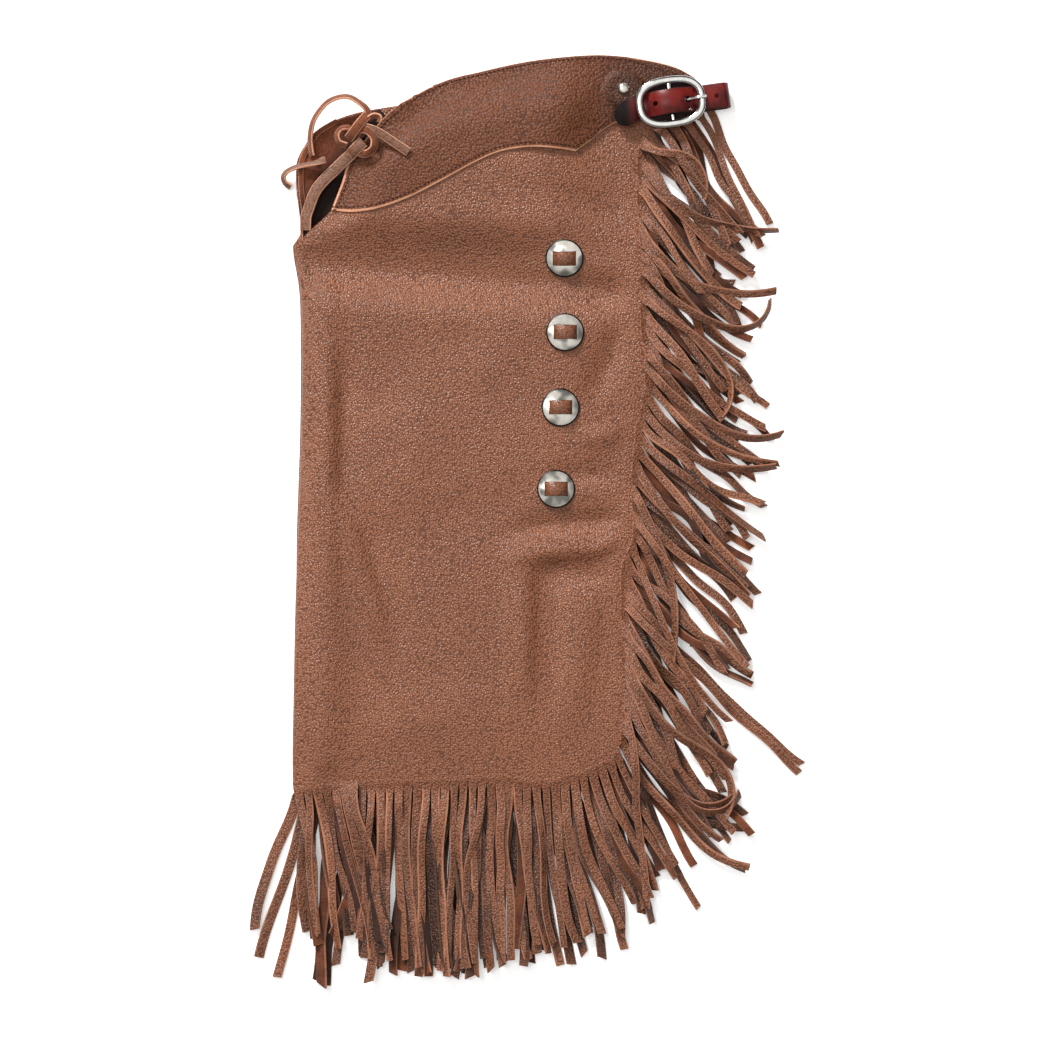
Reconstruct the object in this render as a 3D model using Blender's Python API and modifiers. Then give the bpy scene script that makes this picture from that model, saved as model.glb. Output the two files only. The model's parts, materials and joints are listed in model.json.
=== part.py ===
"""Fringed leather chaps (chinks), folded in half at the front lace and laid flat, grain side out.

Lengths are in millimetres until a mesh is made, and MM turns them into metres. The origin is the
middle of the underside, +Y runs up the leg from the hem to the waist, and +Z is up from the floor.
"""
import math

import bmesh
import bpy
import numpy as np
from mathutils import Matrix, Vector
from mathutils.bvhtree import BVHTree

MM = 0.001

# Leather and seams
WALL = 2.0                # leather of the panels and yokes
SEAM_GAP = 0.3            # between pieces that are sewn or lie on each other
STRIP_GAP = 0.5           # between a cloth edge and the strip its fringe is cut from
EDGE_LOFT = 8.0           # height of the hidden layers under the cut edges
FOLD_RADIUS = 20.0        # how far the roll at the left fold reaches in
FOLD_FOOT = 8.0           # height where the rolled wall stands upright

# Outline of the top leg, as seen from above: columns x, y
FOLD_LINE = [(-232.5, -263), (-231, -190), (-229, -90), (-226, 0), (-223, 90), (-222.5, 165),
             (-223.5, 225), (-229, 262), (-230.5, 274)]
FRONT_EDGE = [(-230.5, 274), (-219, 286), (-194.5, 310), (-181, 337), (-172, 360), (-144, 397), (-124, 414)]
HEM_LINE = [(-232.5, -263), (-158, -257), (-80, -254), (-22, -251), (15, -256), (45, -250), (76, -238),
            (90.5, -225)]
SIDE_EDGE = [(90.5, -225), (95, -160), (92, -100), (92, -45), (103, -15), (102, 40), (107, 100), (115, 140),
             (111, 200), (110.5, 260), (107, 330), (109, 370), (115, 390), (131, 402), (166, 412)]
WAIST_LINE = [(-124, 414), (-83, 436), (-45, 446), (-4, 455), (37, 460), (77, 462), (115, 459), (147, 451),
              (168, 441)]

# Height of the hidden stack along the leg: columns y, loft
LOFT_ALONG = [(-270, 14.0), (-160, 16.0), (0, 16.5), (150, 17.5), (228, 18.0), (268, 13.0), (305, 17.0),
              (345, 20.5), (390, 20.5), (470, 19.0)]

# Soft ridges and troughs of the top panel: columns x, y, half length, turn in degrees, half width, height
FOLDS = [
    (-75, 268, 150, -4, 20, -2.5),
    (38, -16, 48, 6, 9, 4.0),
    (44, 8, 45, 10, 12, -2.0),
    (52, -44, 36, 4, 12, -2.5),
    (-10, -110, 75, 90, 10, 2.6),
    (16, -105, 65, 88, 10, -2.2),
    (46, -125, 60, 80, 13, 1.5),
    (-186, 95, 70, 90, 8, -1.8),
    (-165, -57, 70, 108, 12, 1.6),
    (45, 228, 30, 0, 9, 1.4),
    (86, 158, 36, 60, 14, -1.8),
    (92, 88, 30, 10, 10, 1.8),
    (60, 50, 36, 4, 10, -1.4),
    (-20, 170, 50, 40, 26, 1.2),
    (-138, 140, 40, 60, 26, -1.2),
]

# Grid of the top panel: distance in from the fold, and the rows' heights from the hem to the corner
COLUMNS = (0, 1.5, 5.9, 12.2, 20, 38, 66, 100, 136, 172, 200, 221, 244, 270, 300, 328)
ROWS = (-263, -215, -165, -115, -70, -44, -26, -12, 6, 40, 90, 140, 190, 226, 250, 274)
ROWS_ABOVE = 7
LEG_SHARE = 0.6           # of the rows' run from hem to waist, where the fold's corner lies

# Edge of the second leg's front, which shows left of the lace: columns x, y
SECOND_FRONT = [(-127, 416), (-158, 411), (-175, 407), (-194, 400), (-212, 389), (-220, 378), (-228, 364),
                (-230, 352), (-229.5, 330), (-226, 300), (-226, 282)]

# The yoke: its lower edge from the front tip to the cusp, then up under the strap to the waist tab
YOKE_LOWER = [(-194.5, 310), (-172, 307.5), (-147, 311), (-116, 322), (-83, 339), (-50, 357), (-25, 367.5),
              (5, 372), (36, 370), (50, 368)]
YOKE_RISE = [(50, 368), (66, 380), (89, 397), (128, 404), (168, 418)]

# Fringe
STRAND_THICKNESS = 1.8
STRAND_WIDTH = 7.8
STRIP_WIDTH = 4.0
SLIT = 0.6
STRAND_GAP = 0.4
FLOOR_GAP = 0.4
ROOT_SHARE = 0.6          # of a strand's first length, where only what lies lower than its root counts
PILE_CELL = 0.5
PILE_REACH = (300.0, 490.0)

# Each rule gives the heading (0 to +X, 90 to -Y, 180 to -X) at the root, third, two thirds and tip
# Side fringe on top, by height of the root: columns y, root, third, two thirds, tip, length
SIDE_TOP_RULE = [(410, 50, 62, 62, 58, 150), (340, 52, 58, 50, 44, 160), (240, 54, 54, 46, 38, 160),
                 (150, 52, 50, 38, 26, 165), (60, 50, 46, 42, 40, 165), (-20, 56, 54, 46, 44, 178),
                 (-90, 60, 60, 56, 50, 178), (-160, 62, 60, 52, 44, 185), (-225, 66, 62, 54, 40, 190)]
SIDE_UNDER_RULE = [(390, 56, 60, 48, 40, 150), (250, 54, 50, 40, 30, 150), (120, 52, 48, 44, 40, 155),
                   (-40, 60, 62, 56, 50, 165), (-140, 58, 52, 60, 62, 180), (-225, 66, 56, 44, 30, 180)]
# Hem fringe, by place along the hem: columns x, root, third, two thirds, tip, length
HEM_TOP_RULE = [(-232, 82, 84, 85, 85, 160), (-190, 82, 79, 76, 78, 160), (-150, 91, 92, 90, 88, 172),
                (-100, 91, 90, 88, 89, 196), (-40, 90, 92, 88, 84, 190), (10, 88, 86, 83, 82, 172),
                (50, 86, 76, 66, 66, 158), (91, 68, 60, 58, 58, 128)]
HEM_UNDER_RULE = [(-232, 103, 110, 103, 98, 158), (-214, 98, 103, 103, 99, 188), (-190, 93, 97, 98, 95, 202),
                  (-150, 90, 94, 92, 92, 203), (-60, 90, 91, 92, 90, 201), (20, 86, 80, 78, 80, 188),
                  (90, 72, 78, 76, 74, 176)]

# Strands that stand out, in place of the nearest one of the rule.
# Columns: y of the root, heading at root, third, two thirds and tip, length, roll halfway, roll at the tip,
# and 1 where it lies over its neighbours' roots
SIDE_HEROES = [
    (402, 50, 58, 50, 47, 138, 22, 34, 0),
    (384, 52, 2, 62, 112, 100, 30, 62, 0),
    (366, 66, 38, 10, -6, 172, 24, 66, 0),
    (350, 56, 46, 40, 36, 160, 10, 10, 0),
    (322, 58, 60, 62, 52, 118, 0, 0, 0),
    (298, 66, 44, 12, -8, 168, 12, 20, 0),
    (258, 54, 34, 8, -92, 170, 22, 70, 0),
    (232, 50, 30, 58, 126, 165, 16, 60, 0),
    (218, 56, 50, 60, 56, 140, 6, 0, 0),
    (158, 54, 48, 22, -8, 166, 8, 50, 0),
    (140, 54, 46, 24, 6, 166, 14, 40, 0),
    (110, 54, 44, 10, -6, 160, 14, 52, 0),
    (66, 62, 52, 42, 50, 180, 22, 52, 0),
    (30, 62, 68, 84, 98, 180, 24, 50, 0),
    (-2, 56, 52, 52, 50, 190, 0, 0, 0),
    (-25, 64, 68, 58, 40, 205, 20, 20, 0),
    (-62, 54, 48, 46, 40, 258, 0, 0, 0),
    (-78, 52, 46, 48, 42, 252, 10, 0, 0),
    (-128, 72, 50, 34, 120, 206, 20, 40, 0),
    (-150, 66, 68, 52, -70, 214, 12, 44, 0),
    (-186, 70, 79, 80, 78, 199, 0, 0, 1),
    (-204, 56, 52, 34, -44, 150, 22, 40, 0),
]
UNDER_HEROES = [
    (-142, 42, 52, 60, 66, 145, 0, 10, 0),
    (-156, 46, 54, 58, 52, 150, 10, 0, 0),
    (-212, 62, 56, 24, 2, 170, 30, 10, 0),
]
SIDE_TOP_COUNT = 50
SIDE_UNDER_COUNT = 37
HEM_TOP_COUNT = 36
HEM_UNDER_COUNT = 30
TOP_RINGS = 6
UNDER_RINGS = 5
HERO_RINGS = 9
ROLL_SPREAD = (8.0, 14.0)     # of the plain strands, halfway and at the tip

# Conchos: centres in columns x, y
CONCHOS = [(39, 262), (39.5, 187.5), (35, 112.5), (30.5, 31)]
CONCHO_RADIUS = 19.0
CONCHO_PROFILE = [(19.0, 0.0), (19.0, 0.9), (16.5, 2.3), (11.0, 3.6), (5.0, 4.3), (0.0, 4.5)]
SLOT_AT = 11.3
SLOT_SIZE = (3.4, 17.5)
TAB_SIZE = (15.5, 1.8)
TAB_TOP = 6.4

RIVET_AT = (98, 431.5)
RIVET_PROFILE = [(5.4, 0.0), (5.4, 0.7), (4.6, 2.1), (2.6, 3.1), (0.0, 3.4)]

# Buckle: an oval frame round the middle of the strap, turned a little in the plane of the floor
BUCKLE_AT = (145.0, 417.5)
BUCKLE_TILT = 8.0
BUCKLE_OUTER = (70.0, 51.0)
BUCKLE_ROD = 3.6
BUCKLE_HEIGHT = 22.2
BAR_HEIGHT = 20.6
BAR_RADIUS = 2.2
STRAP_WIDTH = 25.0
STRAP_THICKNESS = 3.0
# Punched holes: place along the strap from the bar, radius; the second one takes the tongue
STRAP_HOLES = ((-15.5, 2.4), (17.0, 3.4), (46.5, 2.4))

LACE_THICKNESS = 2.4
# Lace routes: columns x, y, z, roll in degrees (0 lies flat, 90 stands on edge)
LACE_LOOP = [(-156, 404, 24, 50), (-159.5, 411, 24.5, 70), (-167.5, 417.6, 24.5, 84), (-176, 422, 24, 86),
             (-185.5, 422, 23, 86), (-197, 417.6, 21, 84), (-206.5, 408, 19, 84), (-213, 396.5, 17, 84),
             (-215.5, 382, 14.8, 84), (-214.8, 371, 13.8, 82), (-213.6, 364.5, 13.2, 80)]
LACE_STRAP = [(-169.5, 369.5, 21.6, 10), (-175, 364.5, 20.2, 12), (-183.5, 357, 18, 14), (-193, 348, 16, 16),
              (-203, 338.5, 14.5, 20), (-211, 327.5, 14.2, 24), (-216.5, 313, 13.6, 30), (-219.5, 304, 13.4, 34),
              (-220, 297.5, 13.4, 36)]
LACE_TAIL_RIGHT = [(-158.4, 390.6, 28.0, 10), (-150, 388, 27.5, 6), (-141, 383, 27.0, 0), (-130, 375.5, 26.8, 0),
                   (-116.5, 366.5, 27.2, 0)]
LACE_TAIL_LEFT = [(-200, 360, 18.6, 20), (-210, 357, 17.6, 60), (-220, 355.5, 14.4, 70), (-229.5, 353.5, 11.6, 70),
                  (-239, 349.5, 8.6, 74), (-243, 344, 6.6, 76), (-241, 338, 5.4, 74), (-235.5, 334, 5.0, 60)]
BOW_LEFT = [(-174.9, 391.6, 22.5, 60), (-183, 391.0, 24.0, 70), (-188, 385, 24.2, 74), (-186, 377, 23.6, 70),
            (-178.4, 373.6, 23.0, 60)]
BOW_RIGHT = [(-157.6, 399.4, 25.0, 66), (-151, 403, 26.0, 74), (-145.5, 401.5, 26.6, 76), (-145.5, 396.8, 26.6, 76)]
KNOT_AT = (-167.2, 387.3, 19.8)
KNOT_SIZE = (17.2, 18.8, 21.8)


def clear_scene():
    for thing in list(bpy.data.objects):
        bpy.data.objects.remove(thing, do_unlink=True)


def smooth_curve(points, count=None, per_span=12):
    """Points along a smooth curve through the given ones: evenly spaced if count is given."""
    knots = [np.array(p, float) for p in points]
    knots = [2 * knots[0] - knots[1]] + knots + [2 * knots[-1] - knots[-2]]
    dense = []
    for a, b, c, d in zip(knots, knots[1:], knots[2:], knots[3:]):
        for t in np.arange(per_span) / per_span:
            dense.append(0.5 * (2 * b + (c - a) * t + (2 * a - 5 * b + 4 * c - d) * t ** 2
                                + (3 * b - a - 3 * c + d) * t ** 3))
    dense.append(knots[-2])
    dense = np.array(dense)
    if count is None:
        return dense
    return evenly(dense, count)


def evenly(line, count):
    """Points at equal steps of length along a dense line."""
    steps = np.linalg.norm(np.diff(line[:, :2], axis=0), axis=1)
    run = np.concatenate([[0], np.cumsum(steps)])
    at = np.linspace(0, run[-1], count)
    return np.stack([np.interp(at, run, line[:, k]) for k in range(line.shape[1])], 1)


def table(rows, at, column=1):
    """A smooth reading of a short table whose first column rises."""
    line = smooth_curve([(row[0], row[column]) for row in rows])
    return np.interp(at, line[:, 0], line[:, 1])


def smoothstep(value):
    t = np.clip(value, 0.0, 1.0)
    return t * t * (3 - 2 * t)


FOLD_CURVE = smooth_curve(FOLD_LINE)
FRONT_CURVE = smooth_curve(FRONT_EDGE)
HEM_CURVE = smooth_curve(HEM_LINE)
SIDE_CURVE = smooth_curve(SIDE_EDGE)
WAIST_CURVE = smooth_curve(WAIST_LINE)
CORNER_Y = FOLD_LINE[-1][1]


def fold_x(y):
    return np.interp(y, FOLD_CURVE[:, 1], FOLD_CURVE[:, 0])


def front_x(y):
    return np.interp(y, FRONT_CURVE[:, 1], FRONT_CURVE[:, 0])


def side_x(y):
    return np.interp(y, SIDE_CURVE[:, 1], SIDE_CURVE[:, 0])


def hem_y(x):
    return np.interp(x, HEM_CURVE[:, 0], HEM_CURVE[:, 1])


def waist_y(x):
    return np.interp(x, WAIST_CURVE[:, 0], WAIST_CURVE[:, 1])


def relief(x, y):
    """The soft ridges and troughs that the leather lies in."""
    total = 0.0
    for cx, cy, half_length, turn, half_width, height in FOLDS:
        angle = math.radians(turn)
        along = (x - cx) * math.cos(angle) + (y - cy) * math.sin(angle)
        across = (y - cy) * math.cos(angle) - (x - cx) * math.sin(angle)
        ends = np.exp(-(along / half_length) ** 4)
        total = total + height * ends * np.exp(-(across / half_width) ** 2)
    return total


def loft(x, y):
    """Height of the top panel's inner face, a function of the place alone."""
    middle = table(LOFT_ALONG, y)
    near_edges = (smoothstep((side_x(y) - x) / 85.0) * smoothstep((waist_y(x) - y) / 55.0)
                  * smoothstep((y - hem_y(x)) / 60.0 * 0.8 + 0.2))
    thin_back = 1 - 0.85 * smoothstep((y - 330.0) / 60.0) * smoothstep((x - 15.0) / 80.0)
    height = EDGE_LOFT + (middle - EDGE_LOFT + relief(x, y)) * near_edges * thin_back
    from_fold = np.clip((x - fold_x(y)) / FOLD_RADIUS, 0.0, 1.0)
    rolled = np.sqrt(np.clip(1 - (1 - from_fold) ** 2, 0.0, 1.0))
    crown = 1.6 * np.exp(-((x - fold_x(y) - 24) / 12.0) ** 2)
    rolled_height = FOLD_FOOT + (height + crown - FOLD_FOOT) * rolled
    draped = EDGE_LOFT + 4.0 + (height - EDGE_LOFT - 4.0) * smoothstep((x - front_x(y)) / 45.0)
    above = smoothstep((y - CORNER_Y) / 30.0)
    return rolled_height * (1 - above) + draped * above


def material(name, colour, roughness, metallic=0.0):
    finish = bpy.data.materials.new(name)
    finish.use_nodes = True
    shader = finish.node_tree.nodes["Principled BSDF"]
    shader.inputs["Base Color"].default_value = (*colour, 1)
    shader.inputs["Roughness"].default_value = roughness
    shader.inputs["Metallic"].default_value = metallic
    return finish


def new_object(name, mesh, finish, home):
    thing = bpy.data.objects.new(name, mesh)
    home.objects.link(thing)
    mesh.materials.append(finish)
    return thing


def mesh_from(name, points, faces, closed=True):
    """A mesh in metres from points in millimetres."""
    mesh = bpy.data.meshes.new(name)
    mesh.from_pydata([tuple(p * MM for p in point) for point in points], [], faces)
    if closed:
        work = bmesh.new()
        work.from_mesh(mesh)
        bmesh.ops.recalc_face_normals(work, faces=work.faces)
        work.to_mesh(mesh)
        work.free()
    return mesh


def grid_faces(rows, columns):
    faces = []
    for row in range(rows - 1):
        for column in range(columns - 1):
            corner = row * columns + column
            faces.append((corner, corner + 1, corner + columns + 1, corner + columns))
    return faces


def open_sheet(name, grid):
    """An open surface, facing up, through a grid of points (rows, columns, xyz)."""
    rows, columns = grid.shape[:2]
    return mesh_from(name, grid.reshape(-1, 3).tolist(), grid_faces(rows, columns), closed=False)


def sheet_object(name, grid, thickness, finish, home):
    """A leather wall whose inner face is the grid."""
    thing = new_object(name, open_sheet(name, grid), finish, home)
    solid = thing.modifiers.new("Leather", "SOLIDIFY")
    solid.thickness = thickness * MM
    solid.offset = 1.0
    return thing


def vertex_normals(grid):
    mesh = open_sheet("normals", grid)
    normals = np.array([tuple(v.vector) for v in mesh.vertex_normals]).reshape(grid.shape)
    bpy.data.meshes.remove(mesh)
    return normals


def coons(left, right, bottom, top, s, t):
    """Points of a four-sided patch. left and right have a point for each row, s and t are fractions."""
    patch = np.zeros((len(t), len(s), 2))
    for row, tt in enumerate(t):
        for column, ss in enumerate(s):
            ruled = (1 - ss) * left[row] + ss * right[row]
            low = bottom[column] - ((1 - ss) * bottom[0] + ss * bottom[-1])
            high = top[column] - ((1 - ss) * top[0] + ss * top[-1])
            patch[row, column] = ruled + (1 - tt) * low + tt * high
    return patch


def at_fractions(line, fractions):
    steps = np.linalg.norm(np.diff(line[:, :2], axis=0), axis=1)
    run = np.concatenate([[0], np.cumsum(steps)]) / steps.sum()
    return np.stack([np.interp(fractions, run, line[:, k]) for k in range(2)], 1)


def panel_grid():
    """Inner face of the top panel: rows from hem to waist, columns from the fold to the side edge."""
    rows = np.array(ROWS, float)
    low_left = np.stack([fold_x(rows), rows], 1)
    side_low = np.linspace(0, 1, len(rows))
    side_rows = rows + (SIDE_EDGE[0][1] - rows[0]) * (1 - side_low) ** 3
    low_right = np.stack([side_x(side_rows), side_rows], 1)
    high_left = smooth_curve(FRONT_EDGE, ROWS_ABOVE + 1)[1:]
    upper_side = SIDE_CURVE[SIDE_CURVE[:, 1] >= CORNER_Y]
    upper_side = np.concatenate([low_right[-1:], upper_side, [WAIST_LINE[-1]]])
    high_right = evenly(upper_side, ROWS_ABOVE + 1)[1:]
    left = np.concatenate([low_left, high_left])
    right = np.concatenate([low_right, high_right])
    s = np.array(COLUMNS) / COLUMNS[-1]
    t = np.concatenate([np.linspace(0, LEG_SHARE, len(rows)), np.linspace(LEG_SHARE, 1, ROWS_ABOVE + 1)[1:]])
    waist_share = smoothstep((t - LEG_SHARE) / (1 - LEG_SHARE))
    bottom = at_fractions(HEM_CURVE, s)
    top = at_fractions(WAIST_CURVE, s)
    hem_share = np.clip((rows[0] + 130 - left[:, 1]) / 130.0, 0, 1)
    patch = np.zeros((len(t), len(s), 2))
    for row in range(len(t)):
        ruled = (1 - s)[:, None] * left[row] + s[:, None] * right[row]
        low = bottom - ((1 - s)[:, None] * bottom[0] + s[:, None] * bottom[-1])
        high = top - ((1 - s)[:, None] * top[0] + s[:, None] * top[-1])
        patch[row] = ruled + hem_share[row] * low + waist_share[row] * high
    height = loft(patch[..., 0], patch[..., 1])
    return np.concatenate([patch, height[..., None]], 2)


def boundary(grid):
    """Indices of a grid's edge: hem, side, waist and front, counterclockwise from above."""
    rows, columns = grid.shape[:2]
    loop = [(0, c) for c in range(columns)]
    loop += [(r, columns - 1) for r in range(1, rows)]
    loop += [(rows - 1, c) for c in range(columns - 2, -1, -1)]
    loop += [(r, 0) for r in range(rows - 2, 0, -1)]
    return loop


def outward(loop):
    """Unit normals in plan of a closed counterclockwise loop."""
    before = loop - np.roll(loop, 1, axis=0)
    after = np.roll(loop, -1, axis=0) - loop
    normal = np.zeros_like(loop)
    for edge in (before, after):
        length = np.linalg.norm(edge, axis=1)[:, None]
        normal += np.stack([edge[:, 1], -edge[:, 0]], 1) / np.maximum(length, 1e-6)
    return normal / np.maximum(np.linalg.norm(normal, axis=1)[:, None], 1e-6)


def hidden_rings(grid, normals):
    """Rings of the layered edge of the hidden plies, from the top panel down to the floor."""
    loop = boundary(grid)
    top = np.array([grid[index] - normals[index] * SEAM_GAP for index in loop])
    plan = top[:, :2]
    out = outward(plan)
    rows, columns = grid.shape[:2]
    corner_row = len(ROWS) - 1
    second = smooth_curve(SECOND_FRONT, rows - corner_row)
    reach = np.zeros(len(loop))
    deep = np.full(len(loop), 5.0)
    low = plan.copy()
    for k, (row, column) in enumerate(loop):
        at_hem = row == 0
        at_side = column == columns - 1
        at_waist = row == rows - 1
        on_fold = column == 0 and row <= corner_row
        if at_hem or at_side:
            reach[k] = -3.0
        if at_waist:
            reach[k] = -1.5
        if on_fold:
            reach[k] = 0.6 + 2.6 * smoothstep((plan[k, 1] + 120) / 120.0)
            deep[k] = 4.0
        low[k] = plan[k] + out[k] * reach[k]
        if column == 0 and row > corner_row:
            low[k] = second[rows - 1 - row]
            deep[k] = 16.0 * smoothstep((row - corner_row) / 2.0) * smoothstep((rows - row) / 2.0) + 4.0
    low_out = outward(low)
    height = top[:, 2]
    foot = EDGE_LOFT - SEAM_GAP
    recess = np.where(deep > 6, 4.3, 0.70 * foot)
    rings = [
        top,
        np.column_stack([plan - out * 0.6, height - 0.22 * foot]),
        np.column_stack([plan - out * deep[:, None], np.minimum(recess, height - 2.2)]),
        np.column_stack([low, np.full(len(loop), 0.51 * foot)]),
        np.column_stack([low + low_out * 0.5, np.full(len(loop), 0.34 * foot)]),
        np.column_stack([low - low_out * 0.3, np.full(len(loop), 0.12 * foot)]),
        np.column_stack([low - low_out * 2.0, np.zeros(len(loop))]),
    ]
    return rings


def make_hidden_layers(grid, normals, finish, home):
    """One rounded solid for the plies that do not show, with a flat underside."""
    rings = hidden_rings(grid, normals)
    lowered = grid - normals * SEAM_GAP
    points = lowered.reshape(-1, 3).tolist()
    rows, columns = grid.shape[:2]
    faces = grid_faces(rows, columns)
    before = [row * columns + column for row, column in boundary(grid)]
    for ring in rings[1:]:
        start = len(points)
        points += ring.tolist()
        current = list(range(start, start + len(ring)))
        count = len(current)
        for k in range(count):
            nxt = (k + 1) % count
            faces.append((before[k], before[nxt], current[nxt], current[k]))
        before = current
    faces.append(tuple(before))
    return new_object("under_leg", mesh_from("under_leg", points, faces), finish, home)


def plan_bvh(things):
    """One search tree over the evaluated meshes of some objects, in metres."""
    bpy.context.view_layer.update()
    graph = bpy.context.evaluated_depsgraph_get()
    points = []
    faces = []
    for thing in things:
        mesh = thing.evaluated_get(graph).to_mesh()
        mesh.calc_loop_triangles()
        start = len(points)
        points += [thing.matrix_world @ v.co for v in mesh.vertices]
        faces += [tuple(start + k for k in tri.vertices) for tri in mesh.loop_triangles]
        thing.evaluated_get(graph).to_mesh_clear()
    return BVHTree.FromPolygons(points, faces)


def top_under(tree, x, y):
    """Height in millimetres of what lies highest under a place, or None."""
    hit = tree.ray_cast(Vector((x * MM, y * MM, 1.0)), Vector((0, 0, -1)))
    return None if hit[0] is None else hit[0].z / MM


def yoke_grid():
    """Plan of the yoke: rows from its lower edge to the waist."""
    columns = 20
    lower_main = evenly(smooth_curve(YOKE_LOWER), 14)
    lower_rise = evenly(smooth_curve(YOKE_RISE), columns - 13)[1:]
    lower = np.concatenate([lower_main, lower_rise])
    share = np.concatenate([[0], np.cumsum(np.linalg.norm(np.diff(lower, axis=0), axis=1))])
    waist = smooth_curve([(-125, 417), (-83, 439), (-45, 449), (-4, 458), (37, 463), (77, 465.5), (115, 462),
                          (149, 454), (170, 443)])
    upper = at_fractions(waist, share / share[-1])
    front = evenly(smooth_curve([(-194.5, 310), (-184, 337), (-175.5, 360), (-146, 398), (-125, 417)]), 7)
    back = evenly(smooth_curve([(168, 418), (172, 430), (170, 443)]), 7)
    s = share / share[-1]
    t = np.linspace(0, 1, 7)
    return coons(front, back, lower, upper, s, t)


def settle(plan, heights, tree, gap):
    """Lift a laid sheet until its facets clear what is below by the gap, and no more than they need."""
    rows, columns = plan.shape[:2]
    heights = heights.copy()
    for _ in range(12):
        worst = 0.0
        for row in range(rows - 1):
            for column in range(columns - 1):
                corners = [(row, column), (row, column + 1), (row + 1, column + 1), (row + 1, column)]
                for fr in (0.0, 0.25, 0.5, 0.75, 1.0):
                    for fc in (0.0, 0.25, 0.5, 0.75, 1.0):
                        shares = ((1 - fr) * (1 - fc), (1 - fr) * fc, fr * fc, fr * (1 - fc))
                        point = sum(w * plan[c] for w, c in zip(shares, corners))
                        below = top_under(tree, *point)
                        if below is None:
                            continue
                        own = sum(w * heights[c] for w, c in zip(shares, corners))
                        short = below + gap - own
                        if short > 0.01:
                            worst = max(worst, short)
                            norm = sum(w * w for w in shares)
                            for w, c in zip(shares, corners):
                                heights[c] += short * w / norm
        if worst <= 0.02:
            break
    return heights


def make_yoke(panel, finish, home):
    plan = yoke_grid()
    tree = plan_bvh([panel])
    start = np.zeros(plan.shape[:2])
    for index in np.ndindex(start.shape):
        below = top_under(tree, *plan[index])
        start[index] = below if below is not None else np.nan
    missing = np.isnan(start)
    flat = plan.reshape(-1, 2)
    known = ~missing.reshape(-1)
    for index in zip(*np.nonzero(missing)):
        distance = np.linalg.norm(flat[known] - plan[index], axis=1)
        start[index] = start.reshape(-1)[known][int(distance.argmin())]
    heights = settle(plan, start + SEAM_GAP, tree, SEAM_GAP + 0.25)
    grid = np.concatenate([plan, heights[..., None]], 2)
    return sheet_object("top_yoke", grid, WALL, finish, home)


def make_second_yoke(finish, home):
    """Flesh side of the second leg's yoke, seen left of the lace, on the ledge of the hidden plies."""
    rows = 9
    outer = smooth_curve(SECOND_FRONT, rows)
    grid = np.zeros((rows, 4, 3))
    inner = evenly(FRONT_CURVE[::-1], rows)
    for row in range(rows):
        across = inner[row] - outer[row]
        length = max(np.linalg.norm(across), 1e-6)
        unit = across / length
        reach = np.clip(length - 3.0, 3.0, None) + 7.0 * smoothstep((length - 26) / 14)
        for column, (share, height) in enumerate(((0.0, 5.6), (0.28, 6.8), (0.62, 6.2), (1.0, 5.8))):
            plan = outer[row] + unit * (2.5 + (reach - 2.5) * share)
            grid[row, column] = (*plan, height)
    grid = grid[1:-1, ::-1]
    return sheet_object("under_yoke", grid, WALL, finish, home)


class Pile:
    """A height map of the strands laid so far, in the plane of the floor."""

    def __init__(self):
        self.size = tuple(int(2 * reach / PILE_CELL) for reach in PILE_REACH)
        self.top = np.zeros(self.size, np.float32)

    def cells(self, a, b, half_a, half_b):
        """Cells under one straight length of strand, and how far along it each lies."""
        grow = 0.5 * PILE_CELL
        along = b - a
        length = max(np.linalg.norm(along), 1e-6)
        unit = along / length
        reach = max(half_a, half_b) + grow + 1.0
        low = np.floor((np.minimum(a, b) - reach + PILE_REACH) / PILE_CELL).astype(int)
        high = np.ceil((np.maximum(a, b) + reach + PILE_REACH) / PILE_CELL).astype(int)
        low = np.maximum(low, 0)
        high = np.minimum(high, np.array(self.size) - 1)
        ix, iy = np.meshgrid(np.arange(low[0], high[0]), np.arange(low[1], high[1]), indexing="ij")
        x = (ix + 0.5) * PILE_CELL - PILE_REACH[0] - a[0]
        y = (iy + 0.5) * PILE_CELL - PILE_REACH[1] - a[1]
        run = (x * unit[0] + y * unit[1])
        off = np.abs(y * unit[0] - x * unit[1])
        share = np.clip(run / length, 0, 1)
        half = half_a + (half_b - half_a) * share
        inside = (run > -grow - 0.5) & (run < length + grow + 0.5) & (off < half + grow)
        return ix[inside], iy[inside], share[inside]


def headings_along(headings, count):
    """Heading in radians at each ring, smooth through the root, third, two thirds and tip values."""
    line = smooth_curve([(k / 3, value) for k, value in enumerate(headings)])
    return np.radians(-np.interp(np.linspace(0, 1, count + 1), line[:, 0], line[:, 1]))


def strand_centres(start, headings, length, rings):
    fine = 8
    angles = headings_along(headings, rings * fine)
    step = length / (rings * fine)
    middle = 0.5 * (angles[1:] + angles[:-1])
    moves = np.stack([np.cos(middle), np.sin(middle)], 1) * step
    path = np.concatenate([[start], start + np.cumsum(moves, axis=0)])
    return path[::fine], angles[::fine]


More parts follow.
